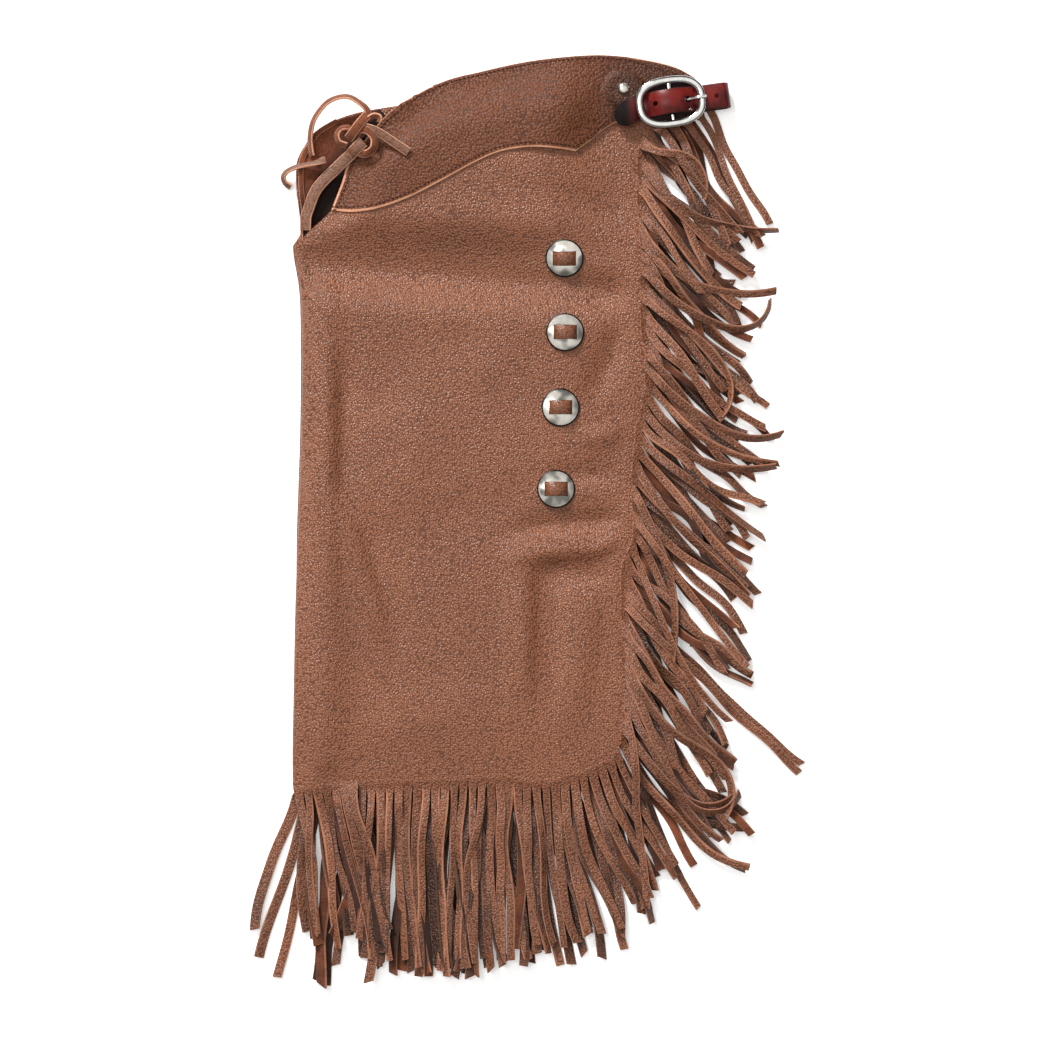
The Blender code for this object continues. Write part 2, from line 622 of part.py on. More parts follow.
def lay_strand(pile, root_centre, strand, rings):
    """Ring corners of one strand that starts at a strip's face and lies over what is there."""
    centres, angles = strand_centres(np.array(root_centre[:2]), strand["headings"], strand["length"], rings)
    share = np.linspace(0, 1, rings + 1)
    rolls = np.radians(np.interp(share, (0, 0.15, 0.5, 1), (0, 0, strand["roll"][0], strand["roll"][1])))
    width = np.interp(share, (0, 0.12, 1), (strand["root_width"], STRAND_WIDTH, STRAND_WIDTH))
    upright = 0.5 * (width * np.abs(np.sin(rolls)) + STRAND_THICKNESS * np.cos(rolls))
    across = 0.5 * (width * np.cos(rolls) + STRAND_THICKNESS * np.abs(np.sin(rolls)))
    height = FLOOR_GAP + upright.copy()
    height[0] = root_centre[2]
    spans = []
    for k in range(rings):
        ix, iy, run = pile.cells(centres[k], centres[k + 1], across[k], across[k + 1])
        need = pile.top[ix, iy]
        keep = need > 0
        if k == 0:
            keep &= (need + STRAND_GAP < root_centre[2] - upright[0]) | (run > ROOT_SHARE)
        spans.append((run[keep], need[keep] + STRAND_GAP))
    for _ in range(80):
        worst = 0.0
        for k, (run, need) in enumerate(spans):
            if not len(run):
                continue
            under = height[k] - upright[k] + (height[k + 1] - upright[k + 1] - height[k] + upright[k]) * run
            short = need - under
            at = int(short.argmax())
            if short[at] < 0.005:
                continue
            worst = max(worst, short[at])
            near, far = 1 - run[at], run[at]
            if k == 0:
                height[1] += short[at] / max(far, ROOT_SHARE)
            else:
                norm = near * near + far * far
                height[k] += short[at] * near / norm
                height[k + 1] += short[at] * far / norm
        if worst < 0.01:
            break
    for k in range(rings):
        ix, iy, run = pile.cells(centres[k], centres[k + 1], across[k], across[k + 1])
        top = height[k] + upright[k] + (height[k + 1] + upright[k + 1] - height[k] - upright[k]) * run
        pile.top[ix, iy] = np.maximum(pile.top[ix, iy], top)
    corners = []
    for k in range(1, rings + 1):
        side = np.array([-math.sin(angles[k]), math.cos(angles[k]), 0.0])
        across_axis = side * math.cos(rolls[k]) + np.array([0, 0, math.sin(rolls[k])])
        thick_axis = -side * math.sin(rolls[k]) + np.array([0, 0, math.cos(rolls[k])])
        centre = np.array([*centres[k], height[k]])
        half_w = 0.5 * width[k] * across_axis
        half_t = 0.5 * STRAND_THICKNESS * thick_axis
        corners.append([centre - half_w + half_t, centre + half_w + half_t, centre + half_w - half_t,
                        centre - half_w - half_t])
    return corners


def rule_row(rules, place):
    ordered = sorted(rules)
    return [float(table(ordered, place, column)) for column in range(1, 6)]


def plan_strands(edge, count, rules, axis, heroes, seed, spread, rings, hero_rings):
    """The strands of one fringe: where each starts along the edge, and how it is to lie."""
    chance = np.random.default_rng(seed)
    steps = np.linalg.norm(np.diff(edge[:, :2], axis=0), axis=1)
    run = np.concatenate([[0], np.cumsum(steps)])
    pitch = run[-1] / count
    strands = []
    for k in range(count):
        start, end = k * pitch + SLIT / 2, (k + 1) * pitch - SLIT / 2
        middle = np.array([np.interp((start + end) / 2, run, edge[:, c]) for c in range(2)])
        values = rule_row(rules, middle[axis])
        swing = chance.normal(0, 1, 4) * np.array([0.15, 0.7, 1.0, 1.3]) * spread
        strands.append({
            "span": (start, end), "middle": middle,
            "headings": [values[c] + swing[c] for c in range(4)],
            "length": values[4] * chance.uniform(0.93, 1.04),
            "roll": (chance.normal(0, ROLL_SPREAD[0]), chance.normal(0, ROLL_SPREAD[1])),
            "rank": chance.uniform(0, 1), "rings": rings,
        })
    for place, h0, h1, h2, h3, length, roll_mid, roll_tip, over in heroes:
        free = [s for s in strands if not s.get("hero")]
        nearest = min(free, key=lambda s: abs(s["middle"][axis] - place))
        nearest.update(headings=[h0, h1, h2, h3], length=length, roll=(roll_mid, roll_tip), hero=True,
                       rank=(3.0 if over else 1.2) + nearest["rank"], rings=hero_rings)
    return strands, run


def strip_stations(edge, thick, run, strands):
    """Cross-sections of the strip at each side of each strand: inner top, inner low, outer low, outer top."""
    marks = sorted(value for s in strands for value in s["span"])
    marks[0] = 0.0
    marks[-1] = run[-1]
    bases = np.stack([np.interp(marks, run, edge[:, c]) for c in range(3)], 1)
    bulge = np.zeros(len(marks))
    for j in range(len(marks) - 1):
        chord = bases[j + 1, :2] - bases[j, :2]
        away = np.array([chord[1], -chord[0]]) / max(np.linalg.norm(chord), 1e-6)
        between = edge[(run > marks[j]) & (run < marks[j + 1]), :2]
        if len(between):
            past = max(0.0, float(((between - bases[j, :2]) @ away).max()))
            bulge[j:j + 2] = np.maximum(bulge[j:j + 2], past)
    stations = []
    for j, mark in enumerate(marks):
        base = bases[j]
        wall = np.array([np.interp(mark, run, thick[:, c]) for c in range(3)])
        back = np.array([np.interp(max(mark - 3, 0), run, edge[:, c]) for c in range(2)])
        front = np.array([np.interp(min(mark + 3, run[-1]), run, edge[:, c]) for c in range(2)])
        tangent = (front - back) / np.linalg.norm(front - back)
        out = np.array([tangent[1], -tangent[0], 0.0])
        near = base + out * (STRIP_GAP + bulge[j])
        far = near + out * STRIP_WIDTH
        stations.append([near + wall, near, far, far + wall])
    for strand in strands:
        first = marks.index(min(marks, key=lambda m: abs(m - strand["span"][0])))
        strand["stations"] = (first, first + 1)
        face = [stations[first][2], stations[first][3], stations[first + 1][2], stations[first + 1][3]]
        strand["root"] = sum(face) / 4
        strand["root_width"] = STRAND_WIDTH
    return stations


def fringe_mesh(name, stations, strands):
    points = []
    for station in stations:
        points += [list(p) for p in station]
    faces = [(0, 1, 2, 3), tuple(4 * (len(stations) - 1) + k for k in (3, 2, 1, 0))]
    rooted = {s["stations"][0] for s in strands}
    for j in range(len(stations) - 1):
        a, b = 4 * j, 4 * (j + 1)
        faces += [(a + 0, b + 0, b + 1, a + 1), (a + 1, b + 1, b + 2, a + 2), (a + 3, b + 3, b + 0, a + 0)]
        if j not in rooted:
            faces.append((a + 2, b + 2, b + 3, a + 3))
    for strand in strands:
        a, b = 4 * strand["stations"][0], 4 * strand["stations"][1]
        before = (a + 3, b + 3, b + 2, a + 2)
        for ring in strand["corners"]:
            start = len(points)
            points += [list(p) for p in ring]
            current = tuple(range(start, start + 4))
            for k in range(4):
                nxt = (k + 1) % 4
                faces.append((before[k], before[nxt], current[nxt], current[k]))
            before = current
        faces.append(before)
    return mesh_from(name, points, faces)


def make_fringes(grid, normals, rings, finishes, home):
    """The four fringes: lower ones first, then the upper ones over them."""
    columns = grid.shape[1]
    loop = boundary(grid)
    side_end = max(k for k, (row, column) in enumerate(loop) if column == columns - 1)
    hem = list(range(0, columns))
    side = list(range(columns - 1, side_end))
    top_edge = np.array([grid[index] for index in loop])
    wall = np.array([normals[index] * WALL for index in loop])
    low = rings[4]
    low_edge = np.column_stack([low[:, :2], np.full(len(low), FLOOR_GAP)])
    low_wall = np.tile([0.0, 0.0, WALL], (len(low), 1))
    fringes = {}
    for name, edge, thick, count, rules, axis, heroes, seed, spread, rings_per in (
            ("hem_fringe_under", low_edge[hem], low_wall[hem], HEM_UNDER_COUNT, HEM_UNDER_RULE, 0, (), 11, 4,
             UNDER_RINGS),
            ("side_fringe_under", low_edge[side], low_wall[side], SIDE_UNDER_COUNT, SIDE_UNDER_RULE, 1,
             UNDER_HEROES, 12, 9, UNDER_RINGS),
            ("hem_fringe_top", top_edge[hem], wall[hem], HEM_TOP_COUNT, HEM_TOP_RULE, 0, (), 13, 4, TOP_RINGS),
            ("side_fringe_top", top_edge[side], wall[side], SIDE_TOP_COUNT, SIDE_TOP_RULE, 1, SIDE_HEROES, 14,
             5, TOP_RINGS)):
        strands, run = plan_strands(edge, count, rules, axis, heroes, seed, spread, rings_per, HERO_RINGS)
        stations = strip_stations(edge, thick, run, strands)
        fringes[name] = (stations, strands)
    pile = Pile()
    for group in (("hem_fringe_under", "side_fringe_under"), ("hem_fringe_top", "side_fringe_top")):
        laid = [strand for name in group for strand in fringes[name][1]]
        for strand in sorted(laid, key=lambda s: s["rank"]):
            strand["corners"] = lay_strand(pile, strand["root"], strand, strand["rings"])
    for name, (stations, strands) in fringes.items():
        new_object(name, fringe_mesh(name, stations, strands), finishes[name.endswith("under")], home)


def turned(name, profile, steps, finish, home):
    """A turned solid, flat underneath, from a profile of radius and height."""
    mesh = bpy.data.meshes.new(name)
    points = [(0.0, 0.0, 0.0)] + [(r * MM, 0.0, z * MM) for r, z in profile]
    mesh.from_pydata(points, [(k, k + 1) for k in range(len(points) - 1)], [])
    thing = new_object(name, mesh, finish, home)
    turn = thing.modifiers.new("Turn", "SCREW")
    turn.steps = steps
    turn.render_steps = steps
    turn.use_merge_vertices = True
    turn.merge_threshold = 0.00001
    turn.use_normal_calculate = True
    return thing


def cutter_box(size, location, rotation, cutters):
    bpy.ops.mesh.primitive_cube_add(size=1, location=location, rotation=rotation)
    box = bpy.context.object
    box.scale = size
    bpy.ops.object.transform_apply(location=False, rotation=False, scale=True)
    hide_cutter(box, cutters)
    return box


def hide_cutter(thing, cutters):
    for owner in list(thing.users_collection):
        owner.objects.unlink(thing)
    cutters.objects.link(thing)
    thing.hide_render = True
    thing.display_type = "WIRE"


def cut(thing, cutter):
    boolean = thing.modifiers.new("Cut", "BOOLEAN")
    boolean.operation = "DIFFERENCE"
    boolean.object = cutter
    boolean.solver = "EXACT"


def seat(tree, x, y, radius):
    """Where a small disc rests on a surface: its centre height and its tilt as a matrix."""
    angles = np.linspace(0, 2 * math.pi, 16, endpoint=False)
    spots = [(x, y)] + [(x + radius * share * math.cos(a), y + radius * share * math.sin(a))
                        for share in (0.35, 0.7, 1.0) for a in angles]
    heights = np.array([top_under(tree, *spot) for spot in spots])
    spots = np.array(spots)
    slope = np.linalg.lstsq(np.column_stack([spots - (x, y), np.ones(len(spots))]), heights, rcond=None)[0]
    plane = slope[2] + (spots - (x, y)) @ slope[:2]
    lift = (heights - plane).max() + SEAM_GAP
    normal = Vector((-slope[0], -slope[1], 1.0)).normalized()
    turn = Vector((0, 0, 1)).rotation_difference(normal).to_matrix().to_4x4()
    place = Matrix.Translation(Vector((x, y, slope[2] + lift)) * MM)
    return place @ turn


def band_mesh(name, path, width, thickness, rolls=None, sides=None):
    """A flat strap along a path: rings of four corners, in millimetres."""
    path = np.array(path, float)
    count = len(path)
    tangents = np.gradient(path, axis=0)
    tangents /= np.linalg.norm(tangents, axis=1)[:, None]
    points = []
    for k in range(count):
        if sides is None:
            side = np.array([-tangents[k][1], tangents[k][0], 0.0])
            side /= np.linalg.norm(side)
        else:
            side = np.array(sides[k], float)
        up = np.cross(tangents[k], side)
        roll = math.radians(0 if rolls is None else rolls[k])
        across = side * math.cos(roll) + up * math.sin(roll)
        thick = -side * math.sin(roll) + up * math.cos(roll)
        half_w = 0.5 * (width if np.isscalar(width) else width[k]) * across
        half_t = 0.5 * thickness * thick
        points += [path[k] - half_w + half_t, path[k] + half_w + half_t, path[k] + half_w - half_t,
                   path[k] - half_w - half_t]
    faces = [(0, 1, 2, 3), tuple(4 * (count - 1) + k for k in (3, 2, 1, 0))]
    for k in range(count - 1):
        a, b = 4 * k, 4 * (k + 1)
        for j in range(4):
            n = (j + 1) % 4
            faces.append((a + j, a + n, b + n, b + j))
    return mesh_from(name, [list(p) for p in points], faces)


def make_conchos(panel, metal, leather, home, cutters):
    tree = plan_bvh([panel])
    for number, (x, y) in enumerate(CONCHOS, 1):
        place = seat(tree, x, y, CONCHO_RADIUS)
        disc = turned(f"concho_{number}", CONCHO_PROFILE, 20, metal, home)
        disc.matrix_world = place
        for sign in (-1, 1):
            spot = place @ Vector((sign * SLOT_AT * MM, 0, 2 * MM))
            size = (SLOT_SIZE[0] * MM, SLOT_SIZE[1] * MM, 20 * MM)
            cut(disc, cutter_box(size, spot, place.to_euler(), cutters))
        rise = [(-SLOT_AT, 0.3), (-SLOT_AT, 3.4), (-SLOT_AT + 1.6, 5.4), (-5.5, TAB_TOP), (0, TAB_TOP + 0.2),
                (5.5, TAB_TOP), (SLOT_AT - 1.6, 5.4), (SLOT_AT, 3.4), (SLOT_AT, 0.3)]
        path = [(px, 0, pz) for px, pz in rise]
        tab = new_object(f"tab_{number}", band_mesh(f"tab_{number}", path, TAB_SIZE[0], TAB_SIZE[1],
                                                    sides=[(0, 1, 0)] * len(path)), leather, home)
        tab.matrix_world = place


def buckle_place():
    return (Matrix.Translation(Vector((BUCKLE_AT[0] * MM, BUCKLE_AT[1] * MM, 0)))
            @ Matrix.Rotation(math.radians(BUCKLE_TILT), 4, "Z"))


def make_buckle(metal, home):
    """The oval frame with its centre bar as one piece, and the tongue that lies on the frame's end."""
    half_x = BUCKLE_OUTER[0] / 2 - BUCKLE_ROD
    half_y = BUCKLE_OUTER[1] / 2 - BUCKLE_ROD
    curve = bpy.data.curves.new("frame", "CURVE")
    curve.dimensions = "3D"
    curve.bevel_depth = BUCKLE_ROD * MM
    curve.bevel_resolution = 1
    spline = curve.splines.new("POLY")
    turns = 28
    spline.points.add(turns - 1)
    roundness = 2.6
    for k in range(turns):
        angle = 2 * math.pi * k / turns
        c, s = math.cos(angle), math.sin(angle)
        x = half_x * math.copysign(abs(c) ** (2 / roundness), c)
        y = half_y * math.copysign(abs(s) ** (2 / roundness), s)
        spline.points[k].co = (x * MM, y * MM, BUCKLE_HEIGHT * MM, 1)
    spline.use_cyclic_u = True
    loop = bpy.data.objects.new("frame_curve", curve)
    home.objects.link(loop)
    frame = new_object("buckle_frame", curve_mesh(loop), metal, home)
    frame.matrix_world = buckle_place()
    bpy.ops.mesh.primitive_cylinder_add(vertices=8, radius=BAR_RADIUS * MM, depth=2 * half_y * MM,
                                        location=(0, 0, BAR_HEIGHT * MM), rotation=(math.pi / 2, 0, 0))
    bar = bpy.context.object
    bar.matrix_world = buckle_place() @ bar.matrix_basis
    hide_cutter(bar, bpy.data.collections["Cutters"])
    join = frame.modifiers.new("Bar", "BOOLEAN")
    join.operation = "UNION"
    join.object = bar
    join.solver = "EXACT"
    rest = BUCKLE_HEIGHT + BUCKLE_ROD + SEAM_GAP + 1.1
    path = [(3.6, 0, BAR_HEIGHT - 0.4), (13, 0, BAR_HEIGHT - 0.2), (17, 0, BAR_HEIGHT + 1.0),
            (21, 0, BAR_HEIGHT + 2.8), (27, 0, rest - 0.4), (31.5, 0, rest), (35.8, 0, rest)]
    tongue = new_object("buckle_tongue", band_mesh("buckle_tongue", path, 3.0, 2.0,
                                                   sides=[(0, 1, 0)] * len(path)), metal, home)
    tongue.matrix_world = buckle_place()


def curve_mesh(loop):
    """The mesh of a curve object, with the curve removed."""
    bpy.context.view_layer.update()
    graph = bpy.context.evaluated_depsgraph_get()
    mesh = bpy.data.meshes.new_from_object(loop.evaluated_get(graph))
    bpy.data.objects.remove(loop, do_unlink=True)
    work = bmesh.new()
    work.from_mesh(mesh)
    bmesh.ops.remove_doubles(work, verts=work.verts, dist=0.000002)
    bmesh.ops.recalc_face_normals(work, faces=work.faces)
    work.to_mesh(mesh)
    work.free()
    return mesh


def strap_path(tree):
    """The strap's middle line along its own axis, with how far it bends aside and its height."""
    under = 3.6
    upper = BUCKLE_HEIGHT - BUCKLE_ROD - SEAM_GAP - STRAP_THICKNESS / 2 - 0.1
    radius = (upper - under) / 2
    turn_at = 60.0 - radius - STRAP_THICKNESS / 2
    crown = BAR_HEIGHT + BAR_RADIUS + 2 * SEAM_GAP + 2.4 + STRAP_THICKNESS / 2 + 0.4
    path = [(26.0, 0, under), (40.0, 0, under)]
    for k in range(7):
        angle = -math.pi / 2 + math.pi * k / 6
        path.append((turn_at + radius * math.cos(angle), 0, under + radius + radius * math.sin(angle)))
    path += [(40, 0, upper), (32, 0, upper), (24.5, 0, upper + 0.2), (19, 0, upper + 3.6),
             (14, 0, upper + 7.2), (8, 0, crown - 1.2), (0, 0, crown), (-8, 0, crown - 1.2),
             (-14, 0, upper + 7.2), (-19, 0, upper + 3.6), (-24.5, 0, upper + 0.2), (-32, 0, upper)]
    place = buckle_place()
    for along, aside in ((-38, -2.0), (-45, -4.6), (-51, -7.6), (-56, -10.6)):
        spots = [place @ Vector(((along + da) * MM, (aside + dy) * MM, 0)) for da in (-5, 0, 5)
                 for dy in (-12, -6, 0, 6, 12)]
        tops = [top_under(tree, spot.x / MM, spot.y / MM) for spot in spots]
        rest = max(t for t in tops if t is not None)
        path.append((along, aside, rest + 0.5 + STRAP_THICKNESS / 2))
    return path


def make_strap(yoke, panel, leather, home, cutters):
    tree = plan_bvh([yoke, panel])
    path = strap_path(tree)
    width = [STRAP_WIDTH] * len(path)
    width[-2] = 21.0
    width[-1] = 9.0
    sides = []
    for k in range(len(path)):
        lean = math.radians((0, 14, 20, 24)[k - len(path) + 4]) if k >= len(path) - 4 else 0.0
        sides.append((-math.sin(lean) * 1.0, math.cos(lean), 0))
    strap = new_object("belt_strap", band_mesh("belt_strap", path, width, STRAP_THICKNESS, sides=sides),
                       leather, home)
    strap.matrix_world = buckle_place()
    for along, radius in STRAP_HOLES:
        bpy.ops.mesh.primitive_cylinder_add(vertices=10, radius=radius * MM, depth=11 * MM,
                                            location=(along * MM, 0, hole_height(path, along) * MM))
        punch = bpy.context.object
        punch.matrix_world = buckle_place() @ punch.matrix_basis
        hide_cutter(punch, cutters)
        cut(strap, punch)
    return strap


def hole_height(path, along):
    upper = sorted((p[0], p[2]) for p in path if p[2] > 12 and p[1] == 0)
    return float(np.interp(along, [p[0] for p in upper], [p[1] for p in upper]))


def make_loop(yoke, panel, leather, home):
    """The short loop round the centre bar, which dives under the strap to the yoke on the left."""
    tree = plan_bvh([yoke, panel])
    place = buckle_place()
    thickness = 2.0
    over = BAR_HEIGHT + BAR_RADIUS + SEAM_GAP + thickness / 2
    path = [(2.8, 0, over - 1.6), (0.6, 0, over), (-2.6, 0, over - 0.6), (-6, 0, over - 4.0),
            (-9.2, 0, over - 7.0)]
    for along in (-13, -18):
        spots = [place @ Vector(((along + da) * MM, dy * MM, 0)) for da in (-5, 0, 5) for dy in (-11, 0, 11)]
        tops = [top_under(tree, spot.x / MM, spot.y / MM) for spot in spots]
        rest = max(t for t in tops if t is not None) + SEAM_GAP + thickness / 2 + 0.1
        path.append((along, 0, rest))
    loop = new_object("buckle_loop", band_mesh("buckle_loop", path, 22.0, thickness,
                                               sides=[(0, 1, 0)] * len(path)), leather, home)
    loop.matrix_world = place


def make_lace(leather, home):
    for name, route, width in (("lace_loop", LACE_LOOP, 8.0), ("lace_strap", LACE_STRAP, 12.0),
                               ("lace_tail_right", LACE_TAIL_RIGHT, 9.0), ("lace_tail_left", LACE_TAIL_LEFT, 7.0),
                               ("lace_bow_left", BOW_LEFT, 7.0), ("lace_bow_right", BOW_RIGHT, 7.0)):
        line = smooth_curve(route, 2 * len(route) - 1)
        new_object(name, band_mesh(name, line[:, :3], width, LACE_THICKNESS, rolls=line[:, 3]), leather, home)
    bpy.ops.mesh.primitive_ico_sphere_add(subdivisions=2, radius=0.5, location=Vector(KNOT_AT) * MM)
    knot = bpy.context.object
    knot.name = "lace_knot"
    knot.scale = Vector(KNOT_SIZE) * MM
    bpy.ops.object.transform_apply(location=False, rotation=False, scale=True)
    for owner in list(knot.users_collection):
        owner.objects.unlink(knot)
    home.objects.link(knot)
    knot.data.materials.append(leather)


def build():
    clear_scene()
    home = bpy.data.collections.new("Leather chaps")
    cutters = bpy.data.collections.new("Cutters")
    bpy.context.scene.collection.children.link(home)
    bpy.context.scene.collection.children.link(cutters)
    grain = material("grain", (0.24, 0.12, 0.075), 0.55)
    flesh = material("flesh", (0.22, 0.08, 0.03), 0.9)
    belt = material("belt", (0.10, 0.012, 0.01), 0.3)
    lace = material("lace", (0.30, 0.13, 0.06), 0.6)
    nickel = material("nickel", (0.6, 0.58, 0.55), 0.3, 1.0)
    chrome = material("chrome", (0.8, 0.8, 0.8), 0.1, 1.0)

    grid = panel_grid()
    normals = vertex_normals(grid)
    panel = sheet_object("top_leg", grid, WALL, grain, home)
    make_hidden_layers(grid, normals, flesh, home)
    rings = hidden_rings(grid, normals)
    make_second_yoke(flesh, home)
    yoke = make_yoke(panel, grain, home)
    make_fringes(grid, normals, rings, (grain, flesh), home)
    make_conchos(panel, nickel, grain, home, cutters)
    tree = plan_bvh([yoke])
    rivet = turned("rivet", RIVET_PROFILE, 14, nickel, home)
    rivet.matrix_world = seat(tree, *RIVET_AT, 5.4)
    make_buckle(chrome, home)
    make_strap(yoke, panel, belt, home, cutters)
    make_loop(yoke, panel, belt, home)
    make_lace(lace, home)


build()
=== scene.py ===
"""Looks of the fringed leather chaps, folded in half and laid flat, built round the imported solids.

Lengths are in millimetres until a mesh is made, and MM turns them into metres. +Y runs up the leg from
the hem to the waist, +X towards the side fringe, and the floor is z = 0.
"""
import json
import math

import bmesh
import bpy
import numpy as np
from mathutils import Matrix, Vector
from mathutils.bvhtree import BVHTree

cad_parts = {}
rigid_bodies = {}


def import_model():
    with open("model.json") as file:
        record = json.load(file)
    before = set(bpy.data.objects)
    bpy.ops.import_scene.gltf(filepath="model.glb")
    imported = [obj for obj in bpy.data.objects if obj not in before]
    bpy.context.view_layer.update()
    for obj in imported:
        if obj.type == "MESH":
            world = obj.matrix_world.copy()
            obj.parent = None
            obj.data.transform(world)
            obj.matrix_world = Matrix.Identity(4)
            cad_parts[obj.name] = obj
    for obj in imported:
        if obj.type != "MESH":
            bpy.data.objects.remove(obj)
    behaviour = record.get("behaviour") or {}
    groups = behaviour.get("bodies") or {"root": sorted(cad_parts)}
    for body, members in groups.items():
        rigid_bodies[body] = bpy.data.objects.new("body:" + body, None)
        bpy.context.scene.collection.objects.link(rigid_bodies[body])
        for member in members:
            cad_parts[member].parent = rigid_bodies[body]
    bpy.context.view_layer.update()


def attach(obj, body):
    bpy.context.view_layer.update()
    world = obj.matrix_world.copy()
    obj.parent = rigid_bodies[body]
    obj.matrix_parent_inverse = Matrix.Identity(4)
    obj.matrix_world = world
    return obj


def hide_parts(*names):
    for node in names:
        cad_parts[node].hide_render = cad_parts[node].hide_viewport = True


for leftover in list(bpy.data.objects):
    bpy.data.objects.remove(leftover, do_unlink=True)
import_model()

MM = 0.001

# Leather and seams, as in the solids
WALL = 2.0
SEAM_GAP = 0.3
STRIP_GAP = 0.5
EDGE_LOFT = 8.0
FOLD_RADIUS = 20.0
FOLD_FOOT = 8.0

# Outline of the top leg, as seen from above: columns x, y
FOLD_LINE = [(-232.5, -263), (-231, -190), (-229, -90), (-226, 0), (-223, 90), (-222.5, 165),
             (-223.5, 225), (-229, 262), (-230.5, 274)]
FRONT_EDGE = [(-230.5, 274), (-219, 286), (-194.5, 310), (-181, 337), (-172, 360), (-144, 397), (-124, 414)]
HEM_LINE = [(-232.5, -263), (-158, -257), (-80, -254), (-22, -251), (15, -256), (45, -250), (76, -238),
            (90.5, -225)]
SIDE_EDGE = [(90.5, -225), (95, -160), (92, -100), (92, -45), (103, -15), (102, 40), (107, 100), (115, 140),
             (111, 200), (110.5, 260), (107, 330), (109, 370), (115, 390), (131, 402), (166, 412)]
WAIST_LINE = [(-124, 414), (-83, 436), (-45, 446), (-4, 455), (37, 460), (77, 462), (115, 459), (147, 451),
              (168, 441)]

# Height of the hidden stack along the leg: columns y, loft
LOFT_ALONG = [(-270, 14.0), (-160, 16.0), (0, 16.5), (150, 17.5), (228, 18.0), (268, 13.0), (305, 17.0),
              (345, 20.5), (390, 20.5), (470, 19.0)]

# Soft ridges and troughs of the top panel: columns x, y, half length, turn in degrees, half width, height
FOLDS = [
    (-75, 268, 150, -4, 20, -2.5),
    (38, -16, 48, 6, 9, 4.0),
    (44, 8, 45, 10, 12, -2.0),
    (52, -44, 36, 4, 12, -2.5),
    (-10, -110, 75, 90, 10, 2.6),
    (16, -105, 65, 88, 10, -2.2),
    (46, -125, 60, 80, 13, 1.5),
    (-186, 95, 70, 90, 8, -1.8),
    (-165, -57, 70, 108, 12, 1.6),
    (45, 228, 30, 0, 9, 1.4),
    (86, 158, 36, 60, 14, -1.8),
    (92, 88, 30, 10, 10, 1.8),
    (60, 50, 36, 4, 10, -1.4),
    (-20, 170, 50, 40, 26, 1.2),
    (-138, 140, 40, 60, 26, -1.2),
]

# The same leather seen closely: the creases that the photograph's light brings out, added to the ones above
CREASES = [
    (-60, 238, 185, -4, 21, -11.0),
    (-70, 298, 160, -4, 24, 3.6),
    (-60, 208, 170, -4, 16, 1.4),
    (-196, -60, 260, 90, 15, 3.0),
    (-178, 92, 70, 90, 12, -3.0),
    (-150, -110, 120, 96, 26, -2.2),
    (-160, -55, 70, 108, 10, 2.6),
    (-143, -62, 70, 108, 12, -1.8),
    (48, -31, 58, 6, 9, 4.0),
    (46, -6, 60, 8, 11, -5.0),
    (52, -56, 44, 4, 12, -2.8),
    (1, -112, 78, 90, 9, 2.6),
    (30, -114, 72, 88, 10, -2.8),
    (60, -125, 60, 82, 12, 2.0),
    (84, 158, 44, 64, 15, -3.4),
    (90, 86, 34, 10, 11, 2.8),
    (60, 44, 36, 4, 10, -2.0),
    (70, 250, 50, -20, 14, 1.8),
    (70, 310, 55, -24, 13, -1.6),
    (-120, 60, 60, 70, 30, 1.6),
    (-40, 10, 70, 20, 30, -1.4),
    (-90, -190, 60, 10, 26, 1.2),
]

# Grid of the top panel: distance in from the fold, and the rows' heights from the hem to the corner
COLUMNS = (0, 1.5, 5.9, 12.2, 20, 38, 66, 100, 136, 172, 200, 221, 244, 270, 300, 328)
ROWS = (-263, -215, -165, -115, -70, -44, -26, -12, 6, 40, 90, 140, 190, 226, 250, 274)
ROWS_ABOVE = 7
LEG_SHARE = 0.6

# Edge of the second leg's front, which shows left of the lace: columns x, y
SECOND_FRONT = [(-127, 416), (-158, 411), (-175, 407), (-194, 400), (-212, 389), (-220, 378), (-228, 364),
                (-230, 352), (-229.5, 330), (-226, 300), (-226, 282)]

# The yoke: its lower edge from the front tip to the cusp, then up under the strap to the waist tab
YOKE_LOWER = [(-194.5, 310), (-172, 307.5), (-147, 311), (-116, 322), (-83, 339), (-50, 357), (-25, 367.5),
              (5, 372), (36, 370), (50, 368)]
YOKE_RISE = [(50, 368), (66, 380), (89, 397), (128, 404), (168, 418)]

# Fringe
STRAND_THICKNESS = 1.8
STRAND_WIDTH = 7.8
STRIP_WIDTH = 4.0
SLIT = 0.6
STRAND_GAP = 0.4
FLOOR_GAP = 0.4
ROOT_SHARE = 0.6
PILE_CELL = 0.5
PILE_REACH = (300.0, 490.0)

# Each rule gives the heading (0 to +X, 90 to -Y, 180 to -X) at the root, third, two thirds and tip
# Side fringe on top, by height of the root: columns y, root, third, two thirds, tip, length
SIDE_TOP_RULE = [(410, 50, 62, 62, 58, 150), (340, 52, 58, 50, 44, 160), (240, 54, 54, 46, 38, 160),
                 (150, 52, 50, 38, 26, 165), (60, 50, 46, 42, 40, 165), (-20, 56, 54, 46, 44, 178),
                 (-90, 60, 60, 56, 50, 178), (-160, 62, 60, 52, 44, 185), (-225, 66, 62, 54, 40, 190)]
SIDE_UNDER_RULE = [(390, 56, 60, 48, 40, 150), (250, 54, 50, 40, 30, 150), (120, 52, 48, 44, 40, 155),
                   (-40, 60, 62, 56, 50, 165), (-140, 58, 52, 60, 62, 180), (-225, 66, 56, 44, 30, 180)]
